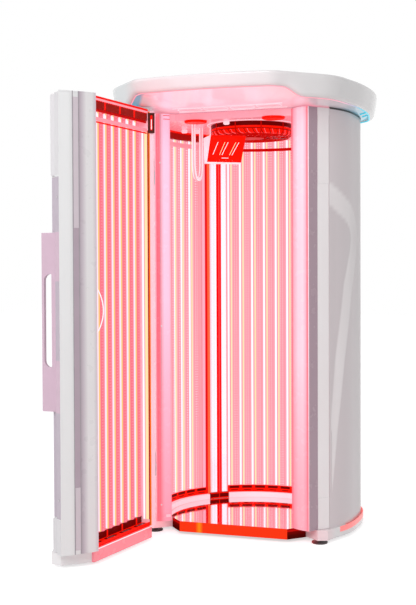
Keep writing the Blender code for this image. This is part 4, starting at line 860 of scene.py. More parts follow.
def build_tubes(name, finish, bank, places, bottom, top):
    """Lit tubes at places with a facing. Their wrap is the turn, with 0.5 at the user, and the height."""
    shape = bmesh.new()
    wrap = shape.loops.layers.uv.new("wrap")
    for middle, inward in places:
        back = -inward.normalized()
        steps = circle(back, at(back.y, -back.x), TUBE_SIDES)
        rings = [[shape.verts.new(middle + step * TUBE_RADIUS + UP * z) for step in steps]
                 for z in (bottom, top)]
        for i in range(TUBE_SIDES):
            j = (i + 1) % TUBE_SIDES
            face = shape.faces.new((rings[0][i], rings[0][j], rings[1][j], rings[1][i]))
            for loop, (u, v) in zip(face.loops, ((i, bottom), (i + 1, bottom), (i + 1, top), (i, top))):
                loop[wrap].uv = (u / TUBE_SIDES, v)
        shape.faces.new(rings[0])
        shape.faces.new(rings[1])
    piece(name, shape, finish, bank)


def build_bank(side, start, end, count, shift):
    """One bank: lit tubes, bars of painted highlights between them, end rails, comb and retaining bar."""
    turns = [(start + end) / 2.0 + shift + (i - (count - 1) / 2.0) * LAMP_PITCH for i in range(count)]
    middles = [polar(LAMP_RADIUS, turn) for turn in turns]
    places = [(middle, CABIN_MIDDLE - middle) for middle in middles]
    build_tubes(side + "_lamp_tubes", TUBE, side + "_lamp_bank", places, SEAT + 0.02, INSIDE_TOP - 0.02)
    for name, (turn_off, radius, finish) in GLINT_BARS.items():
        feet = [polar(LAMP_RADIUS - 0.003, turn + turn_off) for turn in turns if turn + turn_off < end - 0.5]
        made(side + "_" + name + "_glint_bars", finish, "lamp",
             *((add_rod, [foot + UP * LAMP_BOTTOM, foot + UP * (INSIDE_TOP - 0.03)], radius)
               for foot in feet))

    made(side + "_lamp_rails", RED, "red_plastic", band(start, end, RAIL_FRONT, 0.003, SEAT, LAMP_BOTTOM),
         band(start, end, RAIL_FRONT, 0.003, INSIDE_TOP - 0.008, INSIDE_TOP))
    count = round((end - start) / SLOT_PITCH)
    pitch = (end - start) / count
    front = RAIL_FRONT - 0.001
    slots = []
    for i in range(count):
        low, high = start + (i + 0.1) * pitch, start + (i + 0.86) * pitch
        slots.append(band(low, high, front, 0.002, KICK_TOP + 0.02, LAMP_BOTTOM - 0.004, 4))
        slots.append(band(low + 1.0, high - 1.0, front, 0.002, KICK_TOP + 0.008, KICK_TOP + 0.012, 4))
    made(side + "_rail_slots", DARK_RED, "red_plastic", *slots)

    front = RAIL_FRONT - 0.002
    if side == "back":
        made("back_lamp_bar", BAR_RED, "lamp", band(start, end, front, 0.005, *BACK_BAR))
        return
    made(side + "_lamp_bar", PINK_CLEAR, "lamp", band(start, end, front, 0.005, *SIDE_BAR))
    made(side + "_comb_back", BAR_RED, "red_plastic",
         band(start, end, RAIL_FRONT + 0.004, 0.002, COMB_BOTTOM + 0.004, INSIDE_TOP - 0.001))
    count = int((end - start) / COMB_PITCH)
    middles = [start + (i + 0.5) * (end - start) / count for i in range(count)]
    made(side + "_lamp_comb", COMB, "dark_plastic",
         *(band(turn - 0.2, turn + 0.2, RAIL_FRONT + 0.003, 0.001, COMB_BOTTOM, INSIDE_TOP - 0.012, 1)
           for turn in middles))


def build_column_feet():
    """Dark corner joints between the kick rails, under the mirror columns."""
    inner = KICK_RADIUS + 0.001
    for side, middle in (("right", COLUMN_ANGLE), ("left", 180.0 - COLUMN_ANGLE)):
        ends = (middle - COLUMN_HALF_ANGLE, middle + COLUMN_HALF_ANGLE)
        made(side + "_column_foot", DARK_RED, "red_plastic",
             band(*ends, inner, 0.01, SEAT, KICK_TOP + 0.008, 4))
        lines = [band(*ends, inner - 0.0015, 0.0015, height - 0.0025, height + 0.0025, 4)
                 for height in (SEAT + 0.004, KICK_TOP + 0.004)]
        made(side + "_column_foot_trim", RED, "red_plastic", *lines,
             band(middle - 0.2, middle + 0.2, inner - 0.0015, 0.0015, SEAT + 0.002, KICK_TOP + 0.012, 2))


# Door

def build_door_lamps():
    """The door's tubes, the bars, comb and ends over them, and the shelf under them."""
    places = [(at(DOOR_LAMP_FIRST + i * DOOR_LAMP_PITCH, DOOR_LAMP_Y), BACK) for i in range(DOOR_LAMP_COUNT)]
    build_tubes("door_lamp_tubes", DOOR_TUBE, "door_lamp_bank", places, *DOOR_LAMP_ENDS)
    left = at(-DOOR_LAMP_HALF, DOOR_INSIDE_Y)
    width = 2.0 * DOOR_LAMP_HALF
    starts = [2.0 * i * DOOR_LAMP_PITCH for i in range(DOOR_LAMP_COUNT // 2)]

    def box(x, y, z, wide, deep, high):
        return add_slab, left + at(x, y, z), RIGHT * wide, BACK * deep, UP * high

    def bar(y, deep, z, high):
        return box(0.0, y, z, width, deep, high)

    def plates(outline, x, y, z, thick):
        return [(add_plate, round_box(*outline), left + at(start + x, y, z), RIGHT, BACK, thick)
                for start in starts]

    made("door_top_edge", RED, "red_plastic", bar(-0.02, 0.021, DOOR_TOP - 0.0025, 0.01))
    made("door_top_gleam", PINK_CLEAR, "red_plastic", bar(-0.0038, 0.0048, DOOR_TOP - 0.0115, 0.0088))
    made("door_comb_back", BAR_RED, "red_plastic", bar(-0.012, 0.003, 2.07, 0.0155))
    pitch = width / DOOR_TEETH
    made("door_lamp_comb", COMB, "dark_plastic",
         *(box((i + 0.2) * pitch, -0.0038, 2.083 - 0.004 * (i % 2), 0.5 * pitch, 0.001, 0.036)
           for i in range(DOOR_TEETH) if i % TEETH_IN_GROUP < TEETH_IN_GROUP - TEETH_LEFT_OUT))
    made("door_lamp_bar", PINK_CLEAR, "lamp", bar(-0.01, 0.006, 2.026, 0.018))
    ends = [middle + at(0.54 * DOOR_LAMP_PITCH, 0.014, 2.049) for middle, _ in places]
    made("door_lamp_ends", WHITE_LIGHT, "lamp",
         *((add_rod, [end, end + UP * 0.02], 0.0065) for end in ends if end.x < DOOR_LAMP_HALF - 0.01))
    made("door_lamp_bar_edge", RED, "red_plastic", bar(-0.01, 0.005, 2.018, 0.006))

    shelf = DOOR_PLINTH_TOP + 0.013
    made("door_lamp_shelf", RED, "red_plastic", bar(0.0, -0.072, shelf - 0.012, 0.012),
         bar(0.0, -0.003, shelf, 0.006),
         *(box(0.066 + start, -0.04, shelf, 0.006, 0.005, 0.034) for start in starts))
    made("door_shelf_slots", DARK_RED, "red_plastic",
         *plates((0.104, 0.024, 0.012), 0.01, -0.034, shelf + 0.0002, 0.0012),
         bar(-0.046, -0.002, shelf, 0.033))
    made("door_shelf_gleams", STEEL, "steel",
         *plates((0.062, 0.013, 0.006), 0.036, -0.028, shelf + 0.0016, 0.0008))
    made("door_kick_edge", LIT_WHITE, "white_gloss",
         box(0.002, 0.0105, DOOR_PLINTH_TOP - 0.004, width * 0.992, 0.002, 0.005))


def build_hinge_side():
    """Trim on the face of the hinge stile that looks at the lamps, lines of painted lamp reflections on it,
    its top bracket with a painted glint, and its cap.
    """
    edge = HINGE_SIDE_FACE[0]
    run, out = facing(HINGE_SIDE_FACE, RIGHT)
    bottom = DOOR_PLINTH_TOP + 0.002
    height = UP * (DOOR_TOP - 0.003 - bottom)
    for name, start, end, finish in (("dark", 0.0, 0.003, DARK_RED), ("orange", 0.003, 0.009, ORANGE)):
        corner = edge + run * start + UP * bottom + out * LIFT
        made("door_hinge_" + name + "_trim", finish, "red_plastic",
             (add_slab, corner, run * (end - start), out * 0.0012, height))
    # White, red and yellow lines of painted lamp reflections, and a red edge
    start = -0.2965
    for name, end, finish in (("white", -0.2865, WHITE_LIGHT), ("red", -0.282, PINK_CLEAR),
                              ("yellow", -0.2655, YELLOW_LIGHT), ("edge", -0.2622, BAR_RED)):
        corner = at(-0.2836, start, bottom + 0.03)
        made("door_hinge_" + name + "_line", finish, "lamp",
             (add_slab, corner, RIGHT * 0.0016, BACK * (end - start), height * 0.94))
        start = end

    def bracket(name, finish, slot, outline, across, rise, reach, thick):
        corner = edge + run * (0.001 + across) + UP * (2.02 + rise) + out * reach
        made(name, finish, slot, (add_plate, round_box(*outline), corner, run, UP, thick))

    bracket("door_bracket", COMB, "dark_plastic", (0.032, 0.1, 0.003), 0.0, 0.0, 0.006, 0.005)
    bracket("door_bracket_slit", RED, "red_plastic", (0.011, 0.074, 0.005), 0.011, 0.014, 0.0112, 0.0006)
    bracket("door_bracket_glint", LIT_WHITE, "white_gloss", (0.004, 0.05, 0.0018),
            0.0145, 0.018, 0.0119, 0.0004)
    plan = [at(*spot) for spot in HINGE_CAP]
    made("door_hinge_top_cap", COMB, "dark_plastic", (add_block, plan, DOOR_TOP, DOOR_TOP + 0.003))


def build_free_edge():
    """The free edge: rounded extrusion, grey gap, end caps, recessed plates, screws and the bow pull."""
    edge = FREE_FACE[0]
    run, out = facing(FREE_FACE, BACK)
    low, high = DOOR_PLINTH_TOP + 0.001, DOOR_TOP + 0.007

    shape = bmesh.new()
    across = shape.loops.layers.uv.new("across")
    rows = []
    for i in range(EXTRUSION_STEPS + 1):
        share = i / EXTRUSION_STEPS
        reach = EXTRUSION[0] + (EXTRUSION[1] - EXTRUSION[0]) * share
        spot = edge + run * reach + out * (0.0004 + EXTRUSION_BULGE * math.sin(math.pi * share) ** 0.6)
        rows.append([shape.verts.new(spot + UP * z) for z in (low, high)])
    for i in range(EXTRUSION_STEPS):
        face = shape.faces.new((rows[i][0], rows[i + 1][0], rows[i + 1][1], rows[i][1]))
        for loop, u in zip(face.loops, (i, i + 1, i + 1, i)):
            loop[across].uv = (u / EXTRUSION_STEPS, 0.0)
    for level, z in enumerate((low, high)):
        back = [shape.verts.new(edge + run * reach + out * LIFT + UP * z) for reach in reversed(EXTRUSION)]
        shape.faces.new([row[level] for row in rows] + back)
    piece("door_stile_extrusion", shape, extrusion_finish())

    def strip(reach, wide, deep, bottom, top):
        corner = edge + run * reach + out * LIFT + UP * bottom
        return add_slab, corner, run * wide, out * deep, UP * (top - bottom)

    made("door_stile_gap_lines", GREY_LINE, "grey_satin",
         *(strip(reach, 0.004, 0.0012, low, high) for reach in (0.0135, 0.0435)))
    seal_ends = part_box("door_lower_seal_strip")[1].z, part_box("door_upper_seal_strip")[0].z
    made("door_stile_groove", GROOVE, "grey_satin", strip(0.0175, 0.026, 0.001, *seal_ends))

    corner = at(NOTCH_X + LIFT, NOTCH_Y)
    caps = []
    for bottom, top in EDGE_CAPS:
        outline = [(-b, a) for a, b in round_box(top - bottom, EDGE_CAP_WIDTH, 0.006)]
        caps.append((add_plate, outline, corner + UP * bottom, BACK, UP, 0.0036))
    made("door_edge_caps", EDGE_GREY, "white_gloss", *caps)
    made("door_edge_plates", LILAC, "grey_satin",
         *((add_slab, corner + UP * bottom, BACK * -EDGE_PLATE_WIDTH, RIGHT * 0.0009, UP * (top - bottom))
           for bottom, top in EDGE_PLATES))
    shoulder = at(FREE_END.x - 0.02, corner.y + 0.0005)
    slope = FREE_END - shoulder
    for name, finish, ranges in (("cap", EDGE_GREY, ((low, EDGE_CAPS[0][1]), EDGE_CAPS[1])),
                                 ("plate", LILAC, (*EDGE_PLATES, (HANDLE[1], HANDLE[2]))),
                                 ("handle", ROSE_LILAC, (HANDLE[:2], HANDLE[2:]))):
        made("door_flank_" + name, finish, "grey_satin",
             *((add_slab, shoulder + UP * bottom, slope, at(0.0006, -0.0004), UP * (top - bottom))
               for bottom, top in ranges))
    outward = at(slope.y, -slope.x).normalized()
    screws = [shoulder + slope * 0.6 + UP * level + outward * 0.0006 for level in FLANK_SCREWS]
    for name, finish, radius, height in (("rings", GREY_LINE, 0.0062, 0.0012),
                                         ("heads", EDGE_GREY, 0.004, 0.0018)):
        made("door_flank_screw_" + name, finish, "steel",
             *((add_screw, screw, outward, radius, height) for screw in screws))
    plan = [FREE_FACE[1], FREE_FACE[0], FREE_END, at(NOTCH_X, -0.33), at(0.3, -0.3)]
    made("door_stile_top_cap", STILE_WHITE, "white_gloss", (add_block, plan, DOOR_TOP, high))

    points = []
    for i in range(PULL_STEPS + 1):
        share = 2.0 * i / PULL_STEPS - 1.0
        bow = 1.0 - share * share
        points.append(PULL_MIDDLE + PULL_BOW * bow + UP * (PULL_HALF * share))
    made("door_bow_pull", LIT_WHITE, "white_gloss", (add_rod, points, PULL_RADIUS),
         replaced="door_inner_pull")


def build_door_cover():
    """The door's bowed outer cover, and a lid over its top."""
    spots = []
    for i in range(COVER_STEPS + 1):
        share = 2.0 * i / COVER_STEPS - 1.0
        bow = 1.0 - share * share
        spots.append(at(COVER_EDGE_X * share, COVER_EDGE_Y + (COVER_FRONT_Y - COVER_EDGE_Y) * bow))
    ends = [at(sign * COVER_EDGE_X, STILE_BACK) for sign in (-1.0, 1.0)]
    inner = [at(spot.x * 0.985, spot.y + 0.006) for spot in reversed(spots)]
    inset = [at(end.x * 0.985, STILE_BACK) for end in ends]
    plan = [ends[0], *spots, ends[1], inset[1], *inner, inset[0]]
    made("door_bowed_cover", WHITE, "white_gloss",
         (add_block, plan, DOOR_PLINTH_TOP + 0.001, DOOR_TOP - 0.001), replaced="door_outer_cover")
    half = DOOR_LAMP_HALF - 0.001
    plan = [at(-half, -0.284), at(-half, STILE_BACK), ends[0], *spots, ends[1], at(half, STILE_BACK),
            at(half, -0.284)]
    made("door_top_lid", WHITE, "white_gloss", (add_block, plan, DOOR_TOP, DOOR_TOP + 0.0025))


# Posts and covers

def post_spot(edges, out, share, height=0.0):
    """A place on a post's bulged face."""
    return along(edges, share, height) + out * (4.0 * POST_BULGE * share * (1.0 - share))


def build_posts():
    """The door posts with their screws, lines and foot bracket, and the caps of the corner strips."""
    for side, sign, edges, finish in (("left", -1.0, LEFT_POST, LEFT_POST_WHITE),
                                      ("right", 1.0, RIGHT_POST, RIGHT_POST_WHITE)):
        out = facing(edges, -BACK)[1]
        face = [post_spot(edges, out, i / POST_STEPS) for i in range(POST_STEPS + 1)]
        behind = [at(sign * STRIP[0].x, STRIP[0].y), at(sign * POST_BACK.x, POST_BACK.y),
                  polar(KICK_RADIUS, 90.0 - sign * POST_LINING_ANGLE)]
        plan = face + (behind if sign > 0.0 else behind[::-1])
        made(side + "_bulged_post", finish, "white_gloss", (add_block, plan, SEAT, HEAD_TOP),
             replaced=side + "_door_post")

    run, out = facing(LEFT_POST, -BACK)
    made("left_post_screws", STEEL, "steel",
         *((add_screw, post_spot(LEFT_POST, out, share, height), out)
           for share, height in POST_SCREWS))
    shares = [0.52 + 0.045 * i for i in range(11)]
    made("left_post_head_lines", RED, "red_plastic",
         *((add_rod, [post_spot(LEFT_POST, out, share, height) for share in shares], 0.0016, 6)
           for height in (2.107, 2.125)))
    corner = along(LEFT_POST, 0.6, 0.088) + out * 0.0074
    made("left_post_bracket", RED_LAMP_WHITE, "white_gloss",
         (add_plate, round_box(0.024, 0.014, 0.003), corner, run, UP, 0.002))

    step = STRIP[1] - STRIP[0]
    out = facing(STRIP, RIGHT)[1]
    for side, sign in SIDES:
        shape = bmesh.new()
        for bottom, top in STRIP_CAPS:
            corner = along(STRIP, 0.02, bottom) + out * 0.0004
            add_slab(shape, corner, step * 0.93, out * 0.0022, UP * (top - bottom))
        add_slab(shape, along(STRIP, 0.0, INSIDE_TOP), step, out * 0.0004, UP * (HEAD_TOP - INSIDE_TOP))
        add_screw(shape, along(STRIP, 0.4, STRIP_SCREW), out)
        bmesh.ops.scale(shape, vec=(sign, 1.0, 1.0), verts=shape.verts)
        piece(side + "_strip_caps", shape, STRIP_WHITE)


def body_point(degrees, inset=0.0):
    """A point of the body's outline; 0 degrees is the right side and 90 degrees is the back."""
    turn = math.radians(degrees)
    back = 1 if math.sin(turn) >= 0.0 else 0
    power = 2.0 / BODY_POWERS[back]
    x = math.copysign(abs(math.cos(turn)) ** power, math.cos(turn)) * (BODY_HALF_WIDTH - inset)
    y = math.copysign(abs(math.sin(turn)) ** power, math.sin(turn)) * (BODY_DEPTHS[back] - inset)
    return at(x, y + BODY_MIDDLE_Y)


def leaf_step(y, z):
    """How far a place of the side cover lies down the pressed leaf's slope: 0 outside it, 1 on its floor."""
    inside = False
    nearest = 1.0
    spot = Vector((y, z))
    corners = [Vector(corner) for corner in LEAF_LINE]
    for a, b in zip(corners, corners[1:] + corners[:1]):
        if (a.y > z) != (b.y > z) and y < a.x + (b.x - a.x) * (z - a.y) / (b.y - a.y):
            inside = not inside
    if not inside:
        return 0.0
    for a, b in zip(corners, corners[1:]):
        share = min(max((spot - a).dot(b - a) / (b - a).length_squared, 0.0), 1.0)
        nearest = min(nearest, (spot - a.lerp(b, share)).length)
    slope = LEAF_BAND[0] + (LEAF_BAND[1] - LEAF_BAND[0]) * share_of(z, *LEAF_BAND_HEIGHTS)
    return min(nearest / slope, 1.0)


def leaf_depth(y, z):
    """How deep the leaf is at a place of the side cover; it fades out to the front."""
    front = LEAF_LINE[0][0]
    return LEAF_DEPTH * eased(leaf_step(y, z)) * share_of(y, front, front + LEAF_FADE)


def build_side_covers():
    """The side covers, with a shallow leaf pressed into each."""
    bottom, top = (corner.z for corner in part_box("right_side_cover"))
    levels = [bottom + (top - bottom) * i / COVER_LEVELS for i in range(COVER_LEVELS + 1)]
    turns = [COVER_ANGLES[0] + COVER_FINE_TURN * i for i in range(COVER_FINE_STEPS + 1)]
    turns += [turns[-1] + (COVER_ANGLES[1] - turns[-1]) * (i + 1) / COVER_COARSE_STEPS
              for i in range(COVER_COARSE_STEPS)]
    for (side, sign), finish in zip(SIDES, (LEFT_COVER, RIGHT_COVER)):
        columns = []
        for turn in turns:
            outer = body_point(turn)
            inner = body_point(turn, COVER_THICKNESS + LEAF_DEPTH)
            inward = (inner - outer).normalized()
            column = [outer + inward * leaf_depth(outer.y, z) + UP * z for z in levels]
            column += [inner + UP * top, inner + UP * bottom]
            columns.append([at(point.x * sign, point.y, point.z) for point in column])
        shape = bmesh.new()
        leaf = shape.loops.layers.uv.new("leaf")
        skin(shape, columns)
        # u marks the sloped band, where the cover's finish paints light; v is how far down the slope
        for face in shape.faces:
            for loop in face.loops:
                step = leaf_step(*loop.vert.co.yz)
                loop[leaf].uv = (min(1.0, LEAF_GAIN * min(step, 1.0 - step)), step)
        piece(side + "_leaf_cover", shape, finish, side + "_side_cover")


def body_band(sign, start, sweep, steps, outside, inside):
    """The plan of a band along one side of the body's outline, between two insets."""
    turns = [start + sweep * i / steps for i in range(steps + 1)]
    plan = [body_point(t, outside) for t in turns] + [body_point(t, inside) for t in reversed(turns)]
    return [at(p.x * sign, p.y) for p in plan]


def build_body_bands():
    """Strips with a painted glow in the base's side vents, and dark bands of painted shadow at the joint
    over the side covers.
    """
    for side, sign in SIDES:
        plan = body_band(sign, start=-21.0, sweep=56.5, steps=18, outside=-0.0125, inside=-0.009)
        made(side + "_vent_glow", VENT_GLOW, "red_plastic", (add_block, plan, *VENT_HEIGHTS))
        plan = body_band(sign, start=-28.5, sweep=118.5, steps=42, outside=-0.0012, inside=0.004)
        made(side + "_cover_top_shadow", DARK, "dark_plastic",
             (add_block, plan, HEAD_TOP - 0.004, HEAD_TOP + 0.0045))


# Canopy

def canopy_plan():
    """The canopy's outline: filleted corners, evenly spaced points, and a front that bows out a little."""
    corners = list(CANOPY_CORNERS) + [(-x, y, fillet) for x, y, fillet in reversed(CANOPY_CORNERS)]
    spots = [at(x, y) for x, y, _ in corners]
    loop = []
    for i, here in enumerate(spots):
        back = (spots[i - 1] - here).normalized()
        ahead = (spots[(i + 1) % len(spots)] - here).normalized()
        half = back.angle(ahead) / 2.0
        fillet = corners[i][2]
        middle = here + (back + ahead).normalized() * (fillet / math.sin(half))
        start = (here + back * (fillet / math.tan(half)) - middle).normalized()
        end = (here + ahead * (fillet / math.tan(half)) - middle).normalized()
        loop += [middle + start.lerp(end, k / 12.0).normalized() * fillet for k in range(13)]
    loop.append(loop[0])
    lengths = [(b - a).length for a, b in zip(loop, loop[1:])]
    spacing = sum(lengths) / CANOPY_POINTS
    result = []
    travelled = 0.0
    for a, b, length in zip(loop, loop[1:], lengths):
        while len(result) < CANOPY_POINTS and len(result) * spacing < travelled + length - 1e-9:
            result.append(a.lerp(b, (len(result) * spacing - travelled) / length))
        travelled += length
    half, front = CANOPY_CORNERS[0][:2]
    for spot in result:
        if spot.y < front * 0.98:
            spot.y -= CANOPY_BOW * max(0.0, 1.0 - (spot.x / half) ** 2)
    return result


def inwards(loop, distance):
    """A closed outline moved inwards."""
    result = []
    for i, point in enumerate(loop):
        run = (loop[(i + 1) % len(loop)] - loop[i - 1]).normalized()
        result.append(point + at(-run.y, run.x) * distance)
    return result


def lip_height(spot):
    """The canopy's lower edge, which steps up over the doorway."""
    if spot.y > 0.0:
        return LIP_SIDE
    return LIP_SIDE + (LIP_FRONT - LIP_SIDE) * eased(share_of(abs(spot.x), LIP_STEP[1], LIP_STEP[0]))


def body_loop(outward, front_y, half, bow):
    """The body's outline grown outwards and closed across the doorway by a bowed front."""
    side = [body_point(COVER_ANGLES[0] + 2.0 * i, -outward) for i in range(120)]
    shares = [i / 12.0 - 1.0 for i in range(25)]
    return side + [at(half * share, front_y - bow * (1.0 - share * share)) for share in shares]


def crossing(loop, spot):
    """Where the ray from the soffit's middle through a spot meets a closed outline."""
    end = SOFFIT_MIDDLE + (spot - SOFFIT_MIDDLE) * 2.0
    for a, b in zip(loop, loop[1:] + loop[:1]):
        hit = intersect_line_line_2d(SOFFIT_MIDDLE.xy, end.xy, a.xy, b.xy)
        if hit is not None:
            return at(hit.x, hit.y)
    return spot


def soffit_low(share):
    """The soffit's lower side, from the sides of the doorway, 0, to its front, 1."""
    return SOFFIT_LOW + (SOFFIT_FRONT_LOW - SOFFIT_LOW) * share


def build_canopy():
    """The canopy cap with a rounded lip, the soffit under it and the light lines along its edge."""
    plan = canopy_plan()
    lips = [lip_height(spot) for spot in plan]
    shoulder = CANOPY_TOP - CANOPY_EDGE
    wall_foot = LIP_CURL[-1][1]
    loops = [[point + UP * shoulder for point in inwards(plan, CANOPY_WALL)]]
    for reach, rise in LIP_CURL:
        loops.append([point + UP * (lip + rise) for point, lip in zip(inwards(plan, reach), lips)])
    for share, reach in LIP_WALL:
        loops.append([point + UP * (lip + wall_foot + (shoulder - lip - wall_foot) * share)
                      for point, lip in zip(inwards(plan, reach), lips)])
    for i in range(1, 5):
        turn = math.radians(22.5 * i)
        loops.append([point + UP * (shoulder + CANOPY_EDGE * math.sin(turn))
                      for point in inwards(plan, CANOPY_EDGE * (1.0 - math.cos(turn)))])
    made("canopy_cap", CANOPY_WHITE, "white_gloss", (skin, loops), replaced="canopy_shell")

    rim = inwards(plan, SOFFIT_INSET)
    knee_loop = body_loop(outward=0.004, front_y=-0.334, half=0.33, bow=0.011)
    lap_loop = body_loop(outward=-0.031, front_y=LAP_Y, half=LAP_HALF, bow=0.0)
    knees = [crossing(knee_loop, spot) for spot in rim]
    laps = [crossing(lap_loop, spot) for spot in rim]
    lows = [soffit_low(share_of(spot.y, start=-0.22, end=-0.32)) for spot in knees]
    edges = [spot + UP * (lip + 0.008) for spot, lip in zip(rim, lips)]
    folds = [knee + UP * low for knee, low in zip(knees, lows)]
    loops = [[edge.lerp(fold, i / 4.0) for edge, fold in zip(edges, folds)] for i in range(5)]
    loops.append([lap + UP * (SOFFIT_LOW + 0.0005) for lap in laps])
    loops.append([lap + UP * (SOFFIT_LOW + 0.005) for lap in laps])
    loops.append([fold + UP * SOFFIT_THICKNESS for fold in folds])
    loops.append([edge + UP * SOFFIT_THICKNESS for edge in edges])
    made("soffit", SOFFIT, "white_gloss", (skin, loops, True), replaced="header_fascia")

    line = [spot + UP * (lip + 0.0002) for spot, lip in zip(inwards(plan, LIGHT_INSET), lips)]
    made("lip_light_line", LIP_LIGHT, "blue_light", (add_rod, line, 0.003, 8, True),
         replaced="blue_light_strip")
    slits = []
    for y in (0.2, 0.3):
        for _, sign in SIDES:
            on_side = [i for i, spot in enumerate(rim) if spot.x * sign >= 0.0]
            i = min(on_side, key=lambda k: abs(rim[k].y - y))
            start, end = edges[i] - UP * 0.002, folds[i] - UP * 0.002
            slits.append((add_rod, [start.lerp(end, 0.06), start.lerp(end, 0.8)], 0.0022))
    made("lip_light_slits", LIP_LIGHT, "blue_light", *slits)


# Ceiling

def ring(radius, height, thick):
    """A part for made: a thin ring about the cabin's axis."""
    turns = [360.0 * k / GUARD_STEPS for k in range(GUARD_STEPS)]
    return add_rod, [polar(radius, turn) + UP * height for turn in turns], thick, 6, True


def build_fan_duct():
    """The rim, collar, wires and rings of the fan's guard, and the closed bowl over the fan."""
    for name, profile, finish in (("rim", GUARD_RIM, RED), ("collar", GUARD_COLLAR, DARK_RED)):
        inside = [(radius - GUARD_SKIN, z + GUARD_SKIN) for radius, z in reversed(profile)]
        made("fan_guard_" + name, finish, "red_plastic", (add_turned, [*profile, *inside], GUARD_STEPS))
    # The pale wires carry a painted pink glow of the lamps' light
    for name, finish, phase, thick in (("dark", DARK_RED, 0.0, 0.0014), ("pale", PINK_CLEAR, 4.5, 0.0007)):
        wires = []
        for i in range(GUARD_WIRES):
            turn = math.radians(360.0 * i / GUARD_WIRES + phase)
            side = at(math.cos(turn), math.sin(turn))
            swirl = at(-side.y, side.x)
            wire = [CABIN_MIDDLE + side * reach + swirl * bend + UP * z for reach, z, bend in GUARD_WIRE]
            wires.append((add_rod, wire, thick, 5))
        made("fan_guard_" + name + "_wires", finish, "red_plastic", *wires)
    made("fan_guard_rings", DARK_RED, "red_plastic",
         *(ring(GUARD_RING_RADIUS, height, 0.0016) for height in GUARD_RING_HEIGHTS))
    made("fan_duct", FAN_RED, "red_plastic", (add_turned, FAN_BOWL, BOWL_STEPS))


def build_ceiling_trim():
    """Raised lines on the flat lap over the doorway, a rib round the fan, small tabs and the grab bar."""
    def on_lap(x, y):
        return at(x, y, soffit_low(share_of(y, LAP_Y, KNEE_Y)))

    lines = [(add_rod, [on_lap(-0.285, y), on_lap(0.285, y)], 0.0018) for y in (-0.312, -0.222)]
    for i in range(4):
        loop = [on_lap(-0.27 + 0.138 * i + a, b - 0.296) for a, b in round_box(0.122, 0.056, 0.018)]
        lines.append((add_rod, loop, 0.0016, 6, True))
    made("ceiling_lines", LIT_WHITE, "white_gloss", *lines, ring(0.232, 2.0985, 0.002))
    made("ceiling_front_seal", RED_LAMP_WHITE, "white_gloss",
         (add_slab, at(-LAP_HALF, LAP_Y - 0.001, HEAD_TOP + 0.0006), RIGHT * 0.6, BACK * 0.003, UP * 0.0045))
    made("ceiling_tabs", LIT_WHITE, "white_gloss",
         *((add_plate, round_box(0.032, 0.02, 0.008), at(x - 0.016, y - 0.003, 2.0796), RIGHT, UP, -0.006)
           for x, y in ((-0.061, -0.14), (-0.335, 0.165), (-0.392, 0.12), (0.3, 0.25))))

    start, end = GRAB_FEET
    run = (end - start).normalized()
    path = [start]
    for foot, first, inward in ((start, 180.0, 1.0), (end, 270.0, -1.0)):
        middle = foot + run * (inward * GRAB_BEND) - UP * GRAB_DROP
        for i in range(9):
            turn = math.radians(first + 90.0 * i / 8)
            path.append(middle + run * (GRAB_BEND * math.cos(turn)) + UP * (GRAB_BEND * math.sin(turn)))
    path.append(end)
    made("grab_bar", grab_finish(), "white_gloss", (add_rod, path, GRAB_RADIUS, 12),
         replaced="hanging_grab_handle")


def build_panel():
    """The control panel's glossy face with painted reflections of the lamps as white and yellow lines."""
    across = (PANEL_PLACE.to_3x3() @ RIGHT).normalized()
    up = (PANEL_PLACE.to_3x3() @ UP).normalized()
    out = across.cross(up)
    outline = [(a - FACE_SIZE[0] / 2.0, b + FACE_BOTTOM) for a, b in round_box(*FACE_SIZE, FACE_FILLET)]
    origin = PANEL_PLACE @ at(0.0, -0.0004)
    made("control_face", SCREEN, "screen", (add_plate, outline, origin, across, up, FACE_THICKNESS),
         replaced="control_screen")
    for colour, finish, lines in (("white", WHITE_LIGHT, WHITE_LINES),
                                  ("yellow", YELLOW_LIGHT, YELLOW_LINES)):
        parts = []
        for x0, z0, x1, z1 in lines:
            start, end = PANEL_PLACE @ at(x0, -0.0037, z0), PANEL_PLACE @ at(x1, -0.0037, z1)
            thick = (end - start).normalized().cross(out).normalized() * FACE_LINE_WIDTH
            parts.append((add_slab, start - thick * 0.5, end - start, thick, out * 0.0004))
        made("control_face_" + colour + "_lines", finish, "screen", *parts)


# Stage

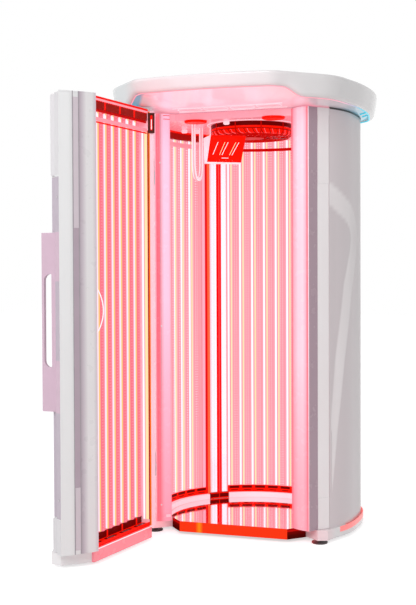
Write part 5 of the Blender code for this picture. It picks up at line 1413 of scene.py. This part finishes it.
def build_stage():
    """A floor and a sky that are pure white to look at, and three soft lamps."""
    bpy.ops.mesh.primitive_plane_add(size=FLOOR_SIZE, location=(0.0, 0.0, 0.0))
    floor = bpy.context.object
    floor.name = "floor"
    look = Finish("floor_white")
    floor.data.materials.append(look.give({
        "Base Color": (0.9, 0.9, 0.9), "Roughness": 0.9, "Specular IOR Level": 0.0,
        "Emission Color": (1.0, 1.0, 1.0), "Emission Strength": look.times(look.looked_at(), 0.6)}))

    world = bpy.data.worlds.new("studio")
    bpy.context.scene.world = world
    world.use_nodes = True
    sky = Nodes(world.node_tree)
    background = sky.tree.nodes["Background"].inputs
    sky.feed(background["Color"], (1.0, 1.0, 1.0))
    sky.feed(background["Strength"], sky.spread(sky.looked_at(), 0.0, 1.0, 0.5, 1.0))

    for name, (place, power) in LAMPS.items():
        lamp = bpy.data.lights.new(name, "AREA")
        lamp.energy = power
        lamp.size = LAMP_SIZE
        item = bpy.data.objects.new(name, lamp)
        item.location = place
        item.rotation_euler = (UP * LAMP_AIM - place).to_track_quat("-Z", "Y").to_euler()
        bpy.context.scene.collection.objects.link(item)


def build_camera():
    camera = bpy.data.cameras.new("camera")
    camera.lens = CAMERA_LENS
    camera.sensor_width = SENSOR_WIDTH
    camera.sensor_fit = "AUTO"
    item = bpy.data.objects.new("camera", camera)
    item.matrix_world = (Matrix.Translation(CAMERA_PLACE)
                         @ Matrix.Rotation(math.radians(CAMERA_YAW), 4, "Z")
                         @ Matrix.Rotation(math.radians(90.0 - CAMERA_PITCH), 4, "X")
                         @ Matrix.Rotation(math.radians(-CAMERA_ROLL), 4, "Z"))
    bpy.context.scene.collection.objects.link(item)
    bpy.context.scene.camera = item


dress_solids()
for bank, sizes in BANKS.items():
    build_bank(bank, *sizes)
build_column_feet()
build_door_lamps()
build_hinge_side()
build_free_edge()
build_door_cover()
build_posts()
build_side_covers()
build_body_bands()
build_canopy()
build_fan_duct()
build_ceiling_trim()
build_panel()
build_stage()
build_camera()
bpy.context.scene.view_settings.view_transform = "Standard"
